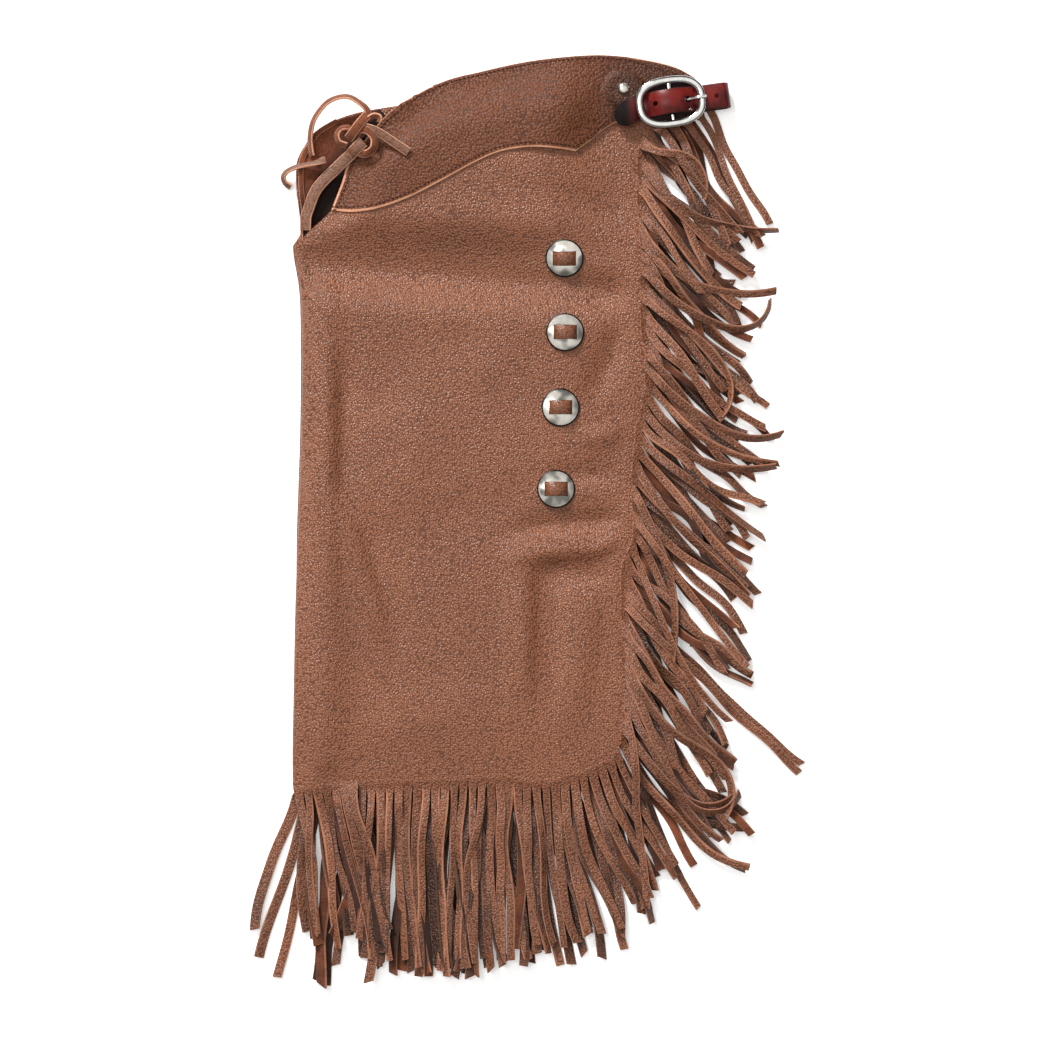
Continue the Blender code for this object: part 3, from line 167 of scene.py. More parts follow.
# Hem fringe, by place along the hem: columns x, root, third, two thirds, tip, length
HEM_TOP_RULE = [(-232, 82, 84, 85, 85, 160), (-190, 82, 79, 76, 78, 160), (-150, 91, 92, 90, 88, 172),
                (-100, 91, 90, 88, 89, 196), (-40, 90, 92, 88, 84, 190), (10, 88, 86, 83, 82, 172),
                (50, 86, 76, 66, 66, 158), (91, 68, 60, 58, 58, 128)]
HEM_UNDER_RULE = [(-232, 103, 110, 103, 98, 158), (-214, 98, 103, 103, 99, 188), (-190, 93, 97, 98, 95, 202),
                  (-150, 90, 94, 92, 92, 203), (-60, 90, 91, 92, 90, 201), (20, 86, 80, 78, 80, 188),
                  (90, 72, 78, 76, 74, 176)]

# Strands that stand out, in place of the nearest one of the rule.
# Columns: y of the root, heading at root, third, two thirds and tip, length, roll halfway, roll at the tip,
# and 1 where it lies over its neighbours' roots
SIDE_HEROES = [
    (402, 50, 58, 50, 47, 138, 22, 34, 0),
    (384, 52, 2, 62, 112, 100, 30, 62, 0),
    (366, 66, 38, 10, -6, 172, 24, 66, 0),
    (350, 56, 46, 40, 36, 160, 10, 10, 0),
    (322, 58, 60, 62, 52, 118, 0, 0, 0),
    (298, 66, 44, 12, -8, 168, 12, 20, 0),
    (258, 54, 34, 8, -92, 170, 22, 70, 0),
    (232, 50, 30, 58, 126, 165, 16, 60, 0),
    (218, 56, 50, 60, 56, 140, 6, 0, 0),
    (158, 54, 48, 22, -8, 166, 8, 50, 0),
    (140, 54, 46, 24, 6, 166, 14, 40, 0),
    (110, 54, 44, 10, -6, 160, 14, 52, 0),
    (66, 62, 52, 42, 50, 180, 22, 52, 0),
    (30, 62, 68, 84, 98, 180, 24, 50, 0),
    (-2, 56, 52, 52, 50, 190, 0, 0, 0),
    (-25, 64, 68, 58, 40, 205, 20, 20, 0),
    (-62, 54, 48, 46, 40, 258, 0, 0, 0),
    (-78, 52, 46, 48, 42, 252, 10, 0, 0),
    (-128, 72, 50, 34, 120, 206, 20, 40, 0),
    (-150, 66, 68, 52, -70, 214, 12, 44, 0),
    (-186, 70, 79, 80, 78, 199, 0, 0, 1),
    (-204, 56, 52, 34, -44, 150, 22, 40, 0),
]
UNDER_HEROES = [
    (-142, 42, 52, 60, 66, 145, 0, 10, 0),
    (-156, 46, 54, 58, 52, 150, 10, 0, 0),
    (-212, 62, 56, 24, 2, 170, 30, 10, 0),
]
SIDE_TOP_COUNT = 50
SIDE_UNDER_COUNT = 37
HEM_TOP_COUNT = 36
HEM_UNDER_COUNT = 30
TOP_RINGS = 6
UNDER_RINGS = 5
# The fringe of the ply between, which shows only in the gaps
HEM_MIDDLE_COUNT = 46
SIDE_MIDDLE_COUNT = 50
MIDDLE_HEIGHT = 3.6
LOWER_WIDER = 1.3
HERO_RINGS = 9
ROLL_SPREAD = (8.0, 14.0)

# Conchos: centres in columns x, y
CONCHOS = [(39, 262), (39.5, 187.5), (35, 112.5), (30.5, 31)]
CONCHO_RADIUS = 19.0
CONCHO_RIM = 17.9
SLOT_AT = 10.4
SLOT_SIZE = (2.4, 14.4)
TAB_SIZE = (14.2, 1.8)
TAB_TOP = 6.4
RIVET_AT = (98, 431.5)

BUCKLE_AT = (145.0, 417.5)
BUCKLE_TILT = 8.0
BUCKLE_OUTER = (70.0, 51.0)
BUCKLE_ROD = 3.6
BUCKLE_HEIGHT = 22.2
BAR_HEIGHT = 20.6
BAR_RADIUS = 2.2
STRAP_WIDTH = 25.0
STRAP_THICKNESS = 3.0
STRAP_HOLES = ((-15.5, 2.4), (17.0, 3.4), (46.5, 2.4))

LACE_THICKNESS = 2.4
# Lace routes: columns x, y, z, roll in degrees (0 lies flat, 90 stands on edge)
LACE_LOOP = [(-156, 404, 24, 50), (-159.5, 411, 24.5, 70), (-167.5, 417.6, 24.5, 84), (-176, 422, 24, 86),
             (-185.5, 422, 23, 86), (-197, 417.6, 21, 84), (-206.5, 408, 19, 84), (-213, 396.5, 17, 84),
             (-215.5, 382, 14.8, 84), (-214.8, 371, 13.8, 82), (-213.6, 364.5, 13.2, 80)]
LACE_STRAP = [(-161.5, 377, 27.4, 6), (-166, 372.8, 27.0, 8),
              (-171, 368.2, 24.6, 10), (-175, 364.5, 20.2, 12), (-183.5, 357, 18, 14), (-193, 348, 16, 16),
              (-203, 338.5, 14.5, 20), (-211, 327.5, 14.2, 24), (-216.5, 313, 13.6, 30), (-219.5, 304, 13.4, 34),
              (-220, 297.5, 13.4, 36), (-220.3, 290.0, 13.0, 38)]
LACE_TAIL_RIGHT = [(-165.6, 391.8, 26.0, 12), (-158.4, 390.6, 28.0, 10), (-150, 388, 27.5, 6),
                   (-141, 383, 27.0, 0), (-130, 375.5, 26.8, 0), (-116.5, 366.5, 27.2, 0)]
LACE_TAIL_LEFT = [(-200, 360, 18.6, 20), (-210, 357, 17.6, 60), (-220, 355.5, 14.4, 70), (-229.5, 353.5, 11.6, 70),
                  (-239, 349.5, 8.6, 74), (-243, 344, 6.6, 76), (-241, 338, 5.4, 74), (-235.5, 334, 5.0, 60)]
BOW_LEFT = [(-174.9, 391.6, 22.5, 60), (-183, 391.0, 24.0, 70), (-188, 385, 24.2, 74), (-186, 377, 23.6, 70),
            (-178.4, 373.6, 23.0, 60)]
BOW_RIGHT = [(-157.6, 399.4, 25.0, 66), (-151, 403, 26.0, 74), (-145.5, 401.5, 26.6, 76), (-145.5, 396.8, 26.6, 76)]
LACE_OPEN = 0.62
# The knot's own turns: a ring that the strap comes out of, and the wrap that the big loop ends in
KNOT_RING = [(-171, 385, 24.5, 10), (-164.5, 389, 28.6, 4), (-156.5, 387, 29.6, -14), (-150.8, 380, 29.0, -26),
             (-151.6, 370.5, 28.0, -26), (-159, 365, 26.6, -18), (-167, 367.0, 24.6, -10)]
KNOT_WRAP = [(-157.5, 404, 25.5, 0), (-161.5, 399, 29.0, 0), (-166.5, 392.5, 31.4, 0), (-172, 385.5, 30.0, 0),
             (-176.5, 380, 25.5, 0)]
KNOT_AT = (-167.2, 387.3, 19.8)
KNOT_SIZE = (17.2, 18.8, 21.8)


def smooth_curve(points, count=None, per_span=12):
    """Points along a smooth curve through the given ones: evenly spaced if count is given."""
    knots = [np.array(p, float) for p in points]
    knots = [2 * knots[0] - knots[1]] + knots + [2 * knots[-1] - knots[-2]]
    dense = []
    for a, b, c, d in zip(knots, knots[1:], knots[2:], knots[3:]):
        for t in np.arange(per_span) / per_span:
            dense.append(0.5 * (2 * b + (c - a) * t + (2 * a - 5 * b + 4 * c - d) * t ** 2
                                + (3 * b - a - 3 * c + d) * t ** 3))
    dense.append(knots[-2])
    dense = np.array(dense)
    if count is None:
        return dense
    return evenly(dense, count)


def evenly(line, count):
    """Points at equal steps of length along a dense line."""
    steps = np.linalg.norm(np.diff(line[:, :2], axis=0), axis=1)
    run = np.concatenate([[0], np.cumsum(steps)])
    at = np.linspace(0, run[-1], count)
    return np.stack([np.interp(at, run, line[:, k]) for k in range(line.shape[1])], 1)


def table(rows, at, column=1):
    """A smooth reading of a short table whose first column rises."""
    line = smooth_curve([(row[0], row[column]) for row in rows])
    return np.interp(at, line[:, 0], line[:, 1])


def smoothstep(value):
    t = np.clip(value, 0.0, 1.0)
    return t * t * (3 - 2 * t)


FOLD_CURVE = smooth_curve(FOLD_LINE)
FRONT_CURVE = smooth_curve(FRONT_EDGE)
HEM_CURVE = smooth_curve(HEM_LINE)
SIDE_CURVE = smooth_curve(SIDE_EDGE)
WAIST_CURVE = smooth_curve(WAIST_LINE)
CORNER_Y = FOLD_LINE[-1][1]


def fold_x(y):
    return np.interp(y, FOLD_CURVE[:, 1], FOLD_CURVE[:, 0])


def front_x(y):
    return np.interp(y, FRONT_CURVE[:, 1], FRONT_CURVE[:, 0])


def side_x(y):
    return np.interp(y, SIDE_CURVE[:, 1], SIDE_CURVE[:, 0])


def hem_y(x):
    return np.interp(x, HEM_CURVE[:, 0], HEM_CURVE[:, 1])


def waist_y(x):
    return np.interp(x, WAIST_CURVE[:, 0], WAIST_CURVE[:, 1])


def relief(x, y, folds=FOLDS):
    """The soft ridges and troughs that the leather lies in."""
    total = 0.0
    for cx, cy, half_length, turn, half_width, height in folds:
        angle = math.radians(turn)
        along = (x - cx) * math.cos(angle) + (y - cy) * math.sin(angle)
        across = (y - cy) * math.cos(angle) - (x - cx) * math.sin(angle)
        ends = np.exp(-(along / half_length) ** 4)
        total = total + height * ends * np.exp(-(across / half_width) ** 2)
    return total


def loft(x, y):
    """Height of the top panel's inner face, a function of the place alone."""
    middle = table(LOFT_ALONG, y)
    near_edges = (smoothstep((side_x(y) - x) / 85.0) * smoothstep((waist_y(x) - y) / 55.0)
                  * smoothstep((y - hem_y(x)) / 60.0 * 0.8 + 0.2))
    thin_back = 1 - 0.85 * smoothstep((y - 330.0) / 60.0) * smoothstep((x - 15.0) / 80.0)
    height = EDGE_LOFT + (middle - EDGE_LOFT + relief(x, y)) * near_edges * thin_back
    from_fold = np.clip((x - fold_x(y)) / FOLD_RADIUS, 0.0, 1.0)
    rolled = np.sqrt(np.clip(1 - (1 - from_fold) ** 2, 0.0, 1.0))
    crown = 1.6 * np.exp(-((x - fold_x(y) - 24) / 12.0) ** 2)
    rolled_height = FOLD_FOOT + (height + crown - FOLD_FOOT) * rolled
    draped = EDGE_LOFT + 4.0 + (height - EDGE_LOFT - 4.0) * smoothstep((x - front_x(y)) / 45.0)
    above = smoothstep((y - CORNER_Y) / 30.0)
    return rolled_height * (1 - above) + draped * above


def mesh_from(name, points, faces):
    """A mesh in metres from points in millimetres."""
    mesh = bpy.data.meshes.new(name)
    mesh.from_pydata((np.asarray(points, float) * MM).tolist(), [], faces)
    return mesh


def grid_faces(rows, columns):
    faces = []
    for row in range(rows - 1):
        for column in range(columns - 1):
            corner = row * columns + column
            faces.append((corner, corner + 1, corner + columns + 1, corner + columns))
    return faces


def vertex_normals(grid):
    rows, columns = grid.shape[:2]
    mesh = mesh_from("normals", grid.reshape(-1, 3), grid_faces(rows, columns))
    normals = np.array([tuple(v.vector) for v in mesh.vertex_normals]).reshape(grid.shape)
    bpy.data.meshes.remove(mesh)
    return normals


def at_fractions(line, fractions):
    steps = np.linalg.norm(np.diff(line[:, :2], axis=0), axis=1)
    run = np.concatenate([[0], np.cumsum(steps)]) / steps.sum()
    return np.stack([np.interp(fractions, run, line[:, k]) for k in range(2)], 1)


def creased(x, y):
    """How far the fine creases and the stiffness of the leather at the fringe lift it."""
    inside = (smoothstep((side_x(y) - x) / 26.0) * smoothstep((waist_y(x) - y) / 40.0)
              * smoothstep((y - hem_y(x)) / 26.0) * smoothstep((x - fold_x(y)) / 14.0)
              * smoothstep((x - front_x(y)) / 40.0 + 3.0 * smoothstep((CORNER_Y - y) / 10.0)))
    near_fringe = 1 - (smoothstep((side_x(y) - x) / 85.0) * smoothstep((y - hem_y(x)) / 75.0 + 0.1))
    held = EDGE_LIFT * near_fringe * smoothstep((x - fold_x(y)) / FOLD_RADIUS) * smoothstep((330.0 - y) / 70.0)
    return relief(x, y, CREASES) * inside + held


def panel_grid(columns=COLUMNS, rows=ROWS, rows_above=ROWS_ABOVE, fine=False):
    """Inner face of the top panel: rows from hem to waist, columns from the fold to the side edge."""
    rows = np.array(rows, float)
    low_left = np.stack([fold_x(rows), rows], 1)
    side_low = np.interp(rows, ROWS, np.linspace(0, 1, len(ROWS)))
    side_rows = rows + (SIDE_EDGE[0][1] - rows[0]) * (1 - side_low) ** 3
    low_right = np.stack([side_x(side_rows), side_rows], 1)
    high_left = smooth_curve(FRONT_EDGE, rows_above + 1)[1:]
    upper_side = SIDE_CURVE[SIDE_CURVE[:, 1] >= CORNER_Y]
    upper_side = np.concatenate([low_right[-1:], upper_side, [WAIST_LINE[-1]]])
    high_right = evenly(upper_side, rows_above + 1)[1:]
    left = np.concatenate([low_left, high_left])
    right = np.concatenate([low_right, high_right])
    s = np.array(columns) / columns[-1]
    t = np.concatenate([side_low * LEG_SHARE, np.linspace(LEG_SHARE, 1, rows_above + 1)[1:]])
    waist_share = smoothstep((t - LEG_SHARE) / (1 - LEG_SHARE))
    bottom = at_fractions(HEM_CURVE, s)
    top = at_fractions(WAIST_CURVE, s)
    hem_share = np.clip((rows[0] + 130 - left[:, 1]) / 130.0, 0, 1)
    patch = np.zeros((len(t), len(s), 2))
    for row in range(len(t)):
        ruled = (1 - s)[:, None] * left[row] + s[:, None] * right[row]
        low = bottom - ((1 - s)[:, None] * bottom[0] + s[:, None] * bottom[-1])
        high = top - ((1 - s)[:, None] * top[0] + s[:, None] * top[-1])
        patch[row] = ruled + hem_share[row] * low + waist_share[row] * high
    height = loft(patch[..., 0], patch[..., 1])
    if fine:
        height = height + creased(patch[..., 0], patch[..., 1])
    return np.concatenate([patch, height[..., None]], 2)


def boundary(grid):
    """Indices of a grid's edge: hem, side, waist and front, counterclockwise from above."""
    rows, columns = grid.shape[:2]
    loop = [(0, c) for c in range(columns)]
    loop += [(r, columns - 1) for r in range(1, rows)]
    loop += [(rows - 1, c) for c in range(columns - 2, -1, -1)]
    loop += [(r, 0) for r in range(rows - 2, 0, -1)]
    return loop


def outward(loop):
    """Unit normals in plan of a closed counterclockwise loop."""
    before = loop - np.roll(loop, 1, axis=0)
    after = np.roll(loop, -1, axis=0) - loop
    normal = np.zeros_like(loop)
    for edge in (before, after):
        length = np.linalg.norm(edge, axis=1)[:, None]
        normal += np.stack([edge[:, 1], -edge[:, 0]], 1) / np.maximum(length, 1e-6)
    return normal / np.maximum(np.linalg.norm(normal, axis=1)[:, None], 1e-6)


def hidden_rings(grid, normals, corner_row=len(ROWS) - 1, finer=1):
    """Rings of the layered edge of the hidden plies, from the top panel down to the floor."""
    loop = boundary(grid)
    top = np.array([grid[index] - normals[index] * SEAM_GAP for index in loop])
    plan = top[:, :2]
    out = outward(plan)
    rows, columns = grid.shape[:2]
    second = smooth_curve(SECOND_FRONT, rows - corner_row)
    reach = np.zeros(len(loop))
    deep = np.full(len(loop), 5.0)
    low = plan.copy()
    for k, (row, column) in enumerate(loop):
        if row == 0 or column == columns - 1:
            reach[k] = -3.0
        if row == rows - 1:
            reach[k] = -1.5
        if column == 0 and row <= corner_row:
            reach[k] = 0.6 + 2.6 * smoothstep((plan[k, 1] + 120) / 120.0)
            deep[k] = 4.0
        low[k] = plan[k] + out[k] * reach[k]
        if column == 0 and row > corner_row:
            low[k] = second[rows - 1 - row]
            above = (row - corner_row) / finer
            left = (rows - row) / finer
            deep[k] = 16.0 * smoothstep(above / 2.0) * smoothstep(left / 2.0) + 4.0
    low_out = outward(low)
    height = top[:, 2]
    foot = EDGE_LOFT - SEAM_GAP
    recess = np.where(deep > 6, 4.3, 0.70 * foot)
    return [
        top,
        np.column_stack([plan - out * 0.6, height - 0.22 * foot]),
        np.column_stack([plan - out * deep[:, None], np.minimum(recess, height - 2.2)]),
        np.column_stack([low, np.full(len(loop), 0.51 * foot)]),
        np.column_stack([low + low_out * 0.5, np.full(len(loop), 0.34 * foot)]),
        np.column_stack([low - low_out * 0.3, np.full(len(loop), 0.12 * foot)]),
        np.column_stack([low - low_out * 2.0, np.zeros(len(loop))]),
    ]


class Pile:
    """A height map of the strands laid so far, in the plane of the floor."""

    def __init__(self):
        self.size = tuple(int(2 * reach / PILE_CELL) for reach in PILE_REACH)
        self.top = np.zeros(self.size, np.float32)

    def cells(self, a, b, half_a, half_b):
        """Cells under one straight length of strand, and how far along it each lies."""
        grow = 0.5 * PILE_CELL
        along = b - a
        length = max(np.linalg.norm(along), 1e-6)
        unit = along / length
        reach = max(half_a, half_b) + grow + 1.0
        low = np.floor((np.minimum(a, b) - reach + PILE_REACH) / PILE_CELL).astype(int)
        high = np.ceil((np.maximum(a, b) + reach + PILE_REACH) / PILE_CELL).astype(int)
        low = np.maximum(low, 0)
        high = np.minimum(high, np.array(self.size) - 1)
        ix, iy = np.meshgrid(np.arange(low[0], high[0]), np.arange(low[1], high[1]), indexing="ij")
        x = (ix + 0.5) * PILE_CELL - PILE_REACH[0] - a[0]
        y = (iy + 0.5) * PILE_CELL - PILE_REACH[1] - a[1]
        run = (x * unit[0] + y * unit[1])
        off = np.abs(y * unit[0] - x * unit[1])
        share = np.clip(run / length, 0, 1)
        half = half_a + (half_b - half_a) * share
        inside = (run > -grow - 0.5) & (run < length + grow + 0.5) & (off < half + grow)
        return ix[inside], iy[inside], share[inside]


    def cover(self, spot, height):
        """Share of the cells close to a place that lie higher."""
        low = ((np.array(spot) - SHADE_REACH + PILE_REACH) / PILE_CELL).astype(int)
        high = ((np.array(spot) + SHADE_REACH + PILE_REACH) / PILE_CELL).astype(int)
        patch = self.top[max(low[0], 0):high[0], max(low[1], 0):high[1]]
        return float((patch > height + 1.2).mean()) if patch.size else 0.0


SHADE_REACH = 9.0
FINE = 4
RING_STEP = 9.0
WAVE_LENGTHS = (55.0, 130.0)
SWAY = (2.4, 5.5)
STIFF_SAG = 0.22
CLIMB = 3.4
FALL = 2.2
CORE = 0.6
SQUASH_REACH = (12.0, 105.0)
SQUASH_FROM = (14.0, 4.5)
SQUASH_OVER = (18.0, 7.0)
EDGE_LIFT = 4.5
EDGE_DIP = 0.6


def headings_along(strand, count):
    """Heading in radians at each fine station: the given values, with the small waves of real leather."""
    line = smooth_curve([(k / 3, value) for k, value in enumerate(strand["headings"])])
    at = np.linspace(0, 1, count + 1)
    angles = -np.interp(at, line[:, 0], line[:, 1])
    run = at * strand["length"]
    for length, swing, start in strand["waves"]:
        turn = 2 * math.pi * run / length
        angles = angles + swing * (np.sin(turn + start) - math.sin(start)) * smoothstep(run / 40.0)
    return np.radians(angles)


def stiffen(height, floor):
    """Leather strips bridge small hollows and climb gently: heights are only ever raised."""
    for _ in range(6):
        bridge = 0.5 * (height[2:] + height[:-2]) - STIFF_SAG
        height[2:-1] = np.maximum(height[2:-1], bridge[1:])
        height[1:-1] = np.maximum(height[1:-1], height[2:] - CLIMB)
        height[1:] = np.maximum(height[1:], height[:-1] - FALL)
    return np.maximum(height, floor)


def lay_strand(pile, root_centre, strand):
    """Lay one strand that starts at a strip's face over what is there: its fine line, heights and rolls."""
    rings = max(8, round(strand["length"] / RING_STEP))
    strand["rings"] = rings
    angles = headings_along(strand, rings * FINE)
    step = strand["length"] / (rings * FINE)
    middle = 0.5 * (angles[1:] + angles[:-1])
    moves = np.stack([np.cos(middle), np.sin(middle)], 1) * step
    path = np.concatenate([[np.array(root_centre[:2])], np.array(root_centre[:2]) + np.cumsum(moves, axis=0)])
    centres = path[::FINE]
    share = np.linspace(0, 1, rings + 1)
    rolls = np.radians(np.interp(share, (0, 0.15, 0.5, 1), (0, 0, strand["roll"][0], strand["roll"][1])))
    width = np.full(rings + 1, strand["width"])
    upright = 0.5 * (width * np.abs(np.sin(rolls)) + STRAND_THICKNESS * np.cos(rolls))
    across = CORE * 0.5 * (width * np.cos(rolls) + STRAND_THICKNESS * np.abs(np.sin(rolls)))
    height = FLOOR_GAP + upright.copy()
    lowest = height.copy()
    height[0] = root_centre[2]
    spans = []
    for k in range(rings):
        ix, iy, run = pile.cells(centres[k], centres[k + 1], across[k], across[k + 1])
        need = pile.top[ix, iy]
        keep = need > 0
        if k == 0:
            keep &= (need + STRAND_GAP < root_centre[2] - upright[0]) | (run > ROOT_SHARE)
        spans.append((run[keep], need[keep] + STRAND_GAP))
    for _ in range(80):
        worst = 0.0
        for k, (run, need) in enumerate(spans):
            if not len(run):
                continue
            under = height[k] - upright[k] + (height[k + 1] - upright[k + 1] - height[k] + upright[k]) * run
            short = need - under
            at = int(short.argmax())
            if short[at] < 0.005:
                continue
            worst = max(worst, short[at])
            near, far = 1 - run[at], run[at]
            if k == 0:
                height[1] += short[at] / max(far, ROOT_SHARE)
            else:
                norm = near * near + far * far
                height[k] += short[at] * near / norm
                height[k + 1] += short[at] * far / norm
        if worst < 0.01:
            break
    stiffen(height, np.append(root_centre[2], lowest[1:]))
    height[1:] = np.minimum(height[1:], root_centre[2] + CLIMB * (np.arange(rings) + 1.7))
    for k in range(rings):
        ix, iy, run = pile.cells(centres[k], centres[k + 1], across[k], across[k + 1])
        top = height[k] + upright[k] + (height[k + 1] + upright[k + 1] - height[k] - upright[k]) * run
        pile.top[ix, iy] = np.maximum(pile.top[ix, iy], top)
    strand.update(path=path, angles=angles, heights=height, turns=rolls)


def pressed(x, y, height):
    """The pile settles: heights are pressed together in their order, the more the further from the panel."""
    beyond = np.maximum(x - side_x(y), hem_y(x) - y)
    away = smoothstep((beyond - SQUASH_REACH[0]) / (SQUASH_REACH[1] - SQUASH_REACH[0]))
    start = SQUASH_FROM[0] + (SQUASH_FROM[1] - SQUASH_FROM[0]) * away
    room = SQUASH_OVER[0] + (SQUASH_OVER[1] - SQUASH_OVER[0]) * away
    over = np.maximum(height - start, 0.0)
    return np.minimum(height, start) + over * room / (room + over)


def rule_row(rules, place):
    ordered = sorted(rules)
    return [float(table(ordered, place, column)) for column in range(1, 6)]


def plan_strands(edge, count, rules, axis, heroes, seed, spread, rings):
    """The strands of one fringe: where each starts along the edge, and how it is to lie."""
    chance = np.random.default_rng(seed)
    steps = np.linalg.norm(np.diff(edge[:, :2], axis=0), axis=1)
    run = np.concatenate([[0], np.cumsum(steps)])
    pitch = run[-1] / count
    strands = []
    for k in range(count):
        start, end = k * pitch + SLIT / 2, (k + 1) * pitch - SLIT / 2
        middle = np.array([np.interp((start + end) / 2, run, edge[:, c]) for c in range(2)])
        values = rule_row(rules, middle[axis])
        swing = chance.normal(0, 1, 4) * np.array([0.15, 0.7, 1.0, 1.3]) * spread
        strands.append({
            "span": (start, end), "middle": middle,
            "headings": [values[c] + swing[c] for c in range(4)],
            "length": values[4] * chance.uniform(0.93, 1.04),
            "roll": (chance.normal(0, ROLL_SPREAD[0]), chance.normal(0, ROLL_SPREAD[1])),
            "rank": chance.uniform(0, 1), "rings": rings,
        })
    for place, h0, h1, h2, h3, length, roll_mid, roll_tip, over in heroes:
        free = [s for s in strands if not s.get("hero")]
        nearest = min(free, key=lambda s: abs(s["middle"][axis] - place))
        nearest.update(headings=[h0, h1, h2, h3], length=length, roll=(roll_mid, roll_tip), hero=True,
                       rank=(3.0 if over else 1.2) + nearest["rank"], rings=HERO_RINGS)
    detail = np.random.default_rng(seed + 100)
    for strand in strands:
        calm = 0.4 if strand.get("hero") else 1.0
        strand["waves"] = [(detail.uniform(*WAVE_LENGTHS), detail.normal(0, SWAY[axis]) * calm,
                            detail.uniform(0, 6.28)) for _ in range(2)]
        strand["width"] = STRAND_WIDTH * detail.uniform(0.86, 1.12)
        bevel = (detail.uniform(0.05, 0.6), detail.uniform(0.3, 2.0))
        strand["bevel"] = bevel if detail.uniform() < 0.5 else bevel[::-1]
        strand["slit"] = detail.uniform(0.0, 6.0)
        strand["slant"] = detail.normal(0, 1.6)
        if not strand.get("hero"):
            twist = detail.choice([-1, 1]) * detail.uniform(0, 34) * (detail.uniform() < 0.5)
            strand["roll"] = (strand["roll"][0] * 1.3 + twist, strand["roll"][1] * 1.4 + twist)
    return strands, run


def strip_stations(edge, thick, run, strands):
    """Cross-sections of the strip at each side of each strand: inner top, inner low, outer low, outer top."""
    marks = sorted(value for s in strands for value in s["span"])
    marks[0] = 0.0
    marks[-1] = run[-1]
    bases = np.stack([np.interp(marks, run, edge[:, c]) for c in range(3)], 1)
    bulge = np.zeros(len(marks))
    for j in range(len(marks) - 1):
        chord = bases[j + 1, :2] - bases[j, :2]
        away = np.array([chord[1], -chord[0]]) / max(np.linalg.norm(chord), 1e-6)
        between = edge[(run > marks[j]) & (run < marks[j + 1]), :2]
        if len(between):
            past = max(0.0, float(((between - bases[j, :2]) @ away).max()))
            bulge[j:j + 2] = np.maximum(bulge[j:j + 2], past)
    stations = []
    for j, mark in enumerate(marks):
        base = bases[j]
        wall = np.array([np.interp(mark, run, thick[:, c]) for c in range(3)])
        back = np.array([np.interp(max(mark - 3, 0), run, edge[:, c]) for c in range(2)])
        front = np.array([np.interp(min(mark + 3, run[-1]), run, edge[:, c]) for c in range(2)])
        tangent = (front - back) / np.linalg.norm(front - back)
        out = np.array([tangent[1], -tangent[0], 0.0])
        near = base + out * (STRIP_GAP + bulge[j])
        far = near + out * STRIP_WIDTH
        stations.append([near + wall, near, far, far + wall])
    for strand in strands:
        first = marks.index(min(marks, key=lambda m: abs(m - strand["span"][0])))
        strand["stations"] = (first, first + 1)
        face = [stations[first][2], stations[first][3], stations[first + 1][2], stations[first + 1][3]]
        strand["root"] = sum(face) / 4
    return stations


def edge_of(grid, normals):
    """Edge of the panel along the hem, then along the side, with its wall."""
    columns = grid.shape[1]
    loop = boundary(grid)
    side_end = max(k for k, (row, column) in enumerate(loop) if column == columns - 1)
    edge = np.array([grid[index] for index in loop])
    wall = np.array([normals[index] * WALL for index in loop])
    return ((edge[:columns], wall[:columns]),
            (edge[columns - 1:side_end], wall[columns - 1:side_end]))


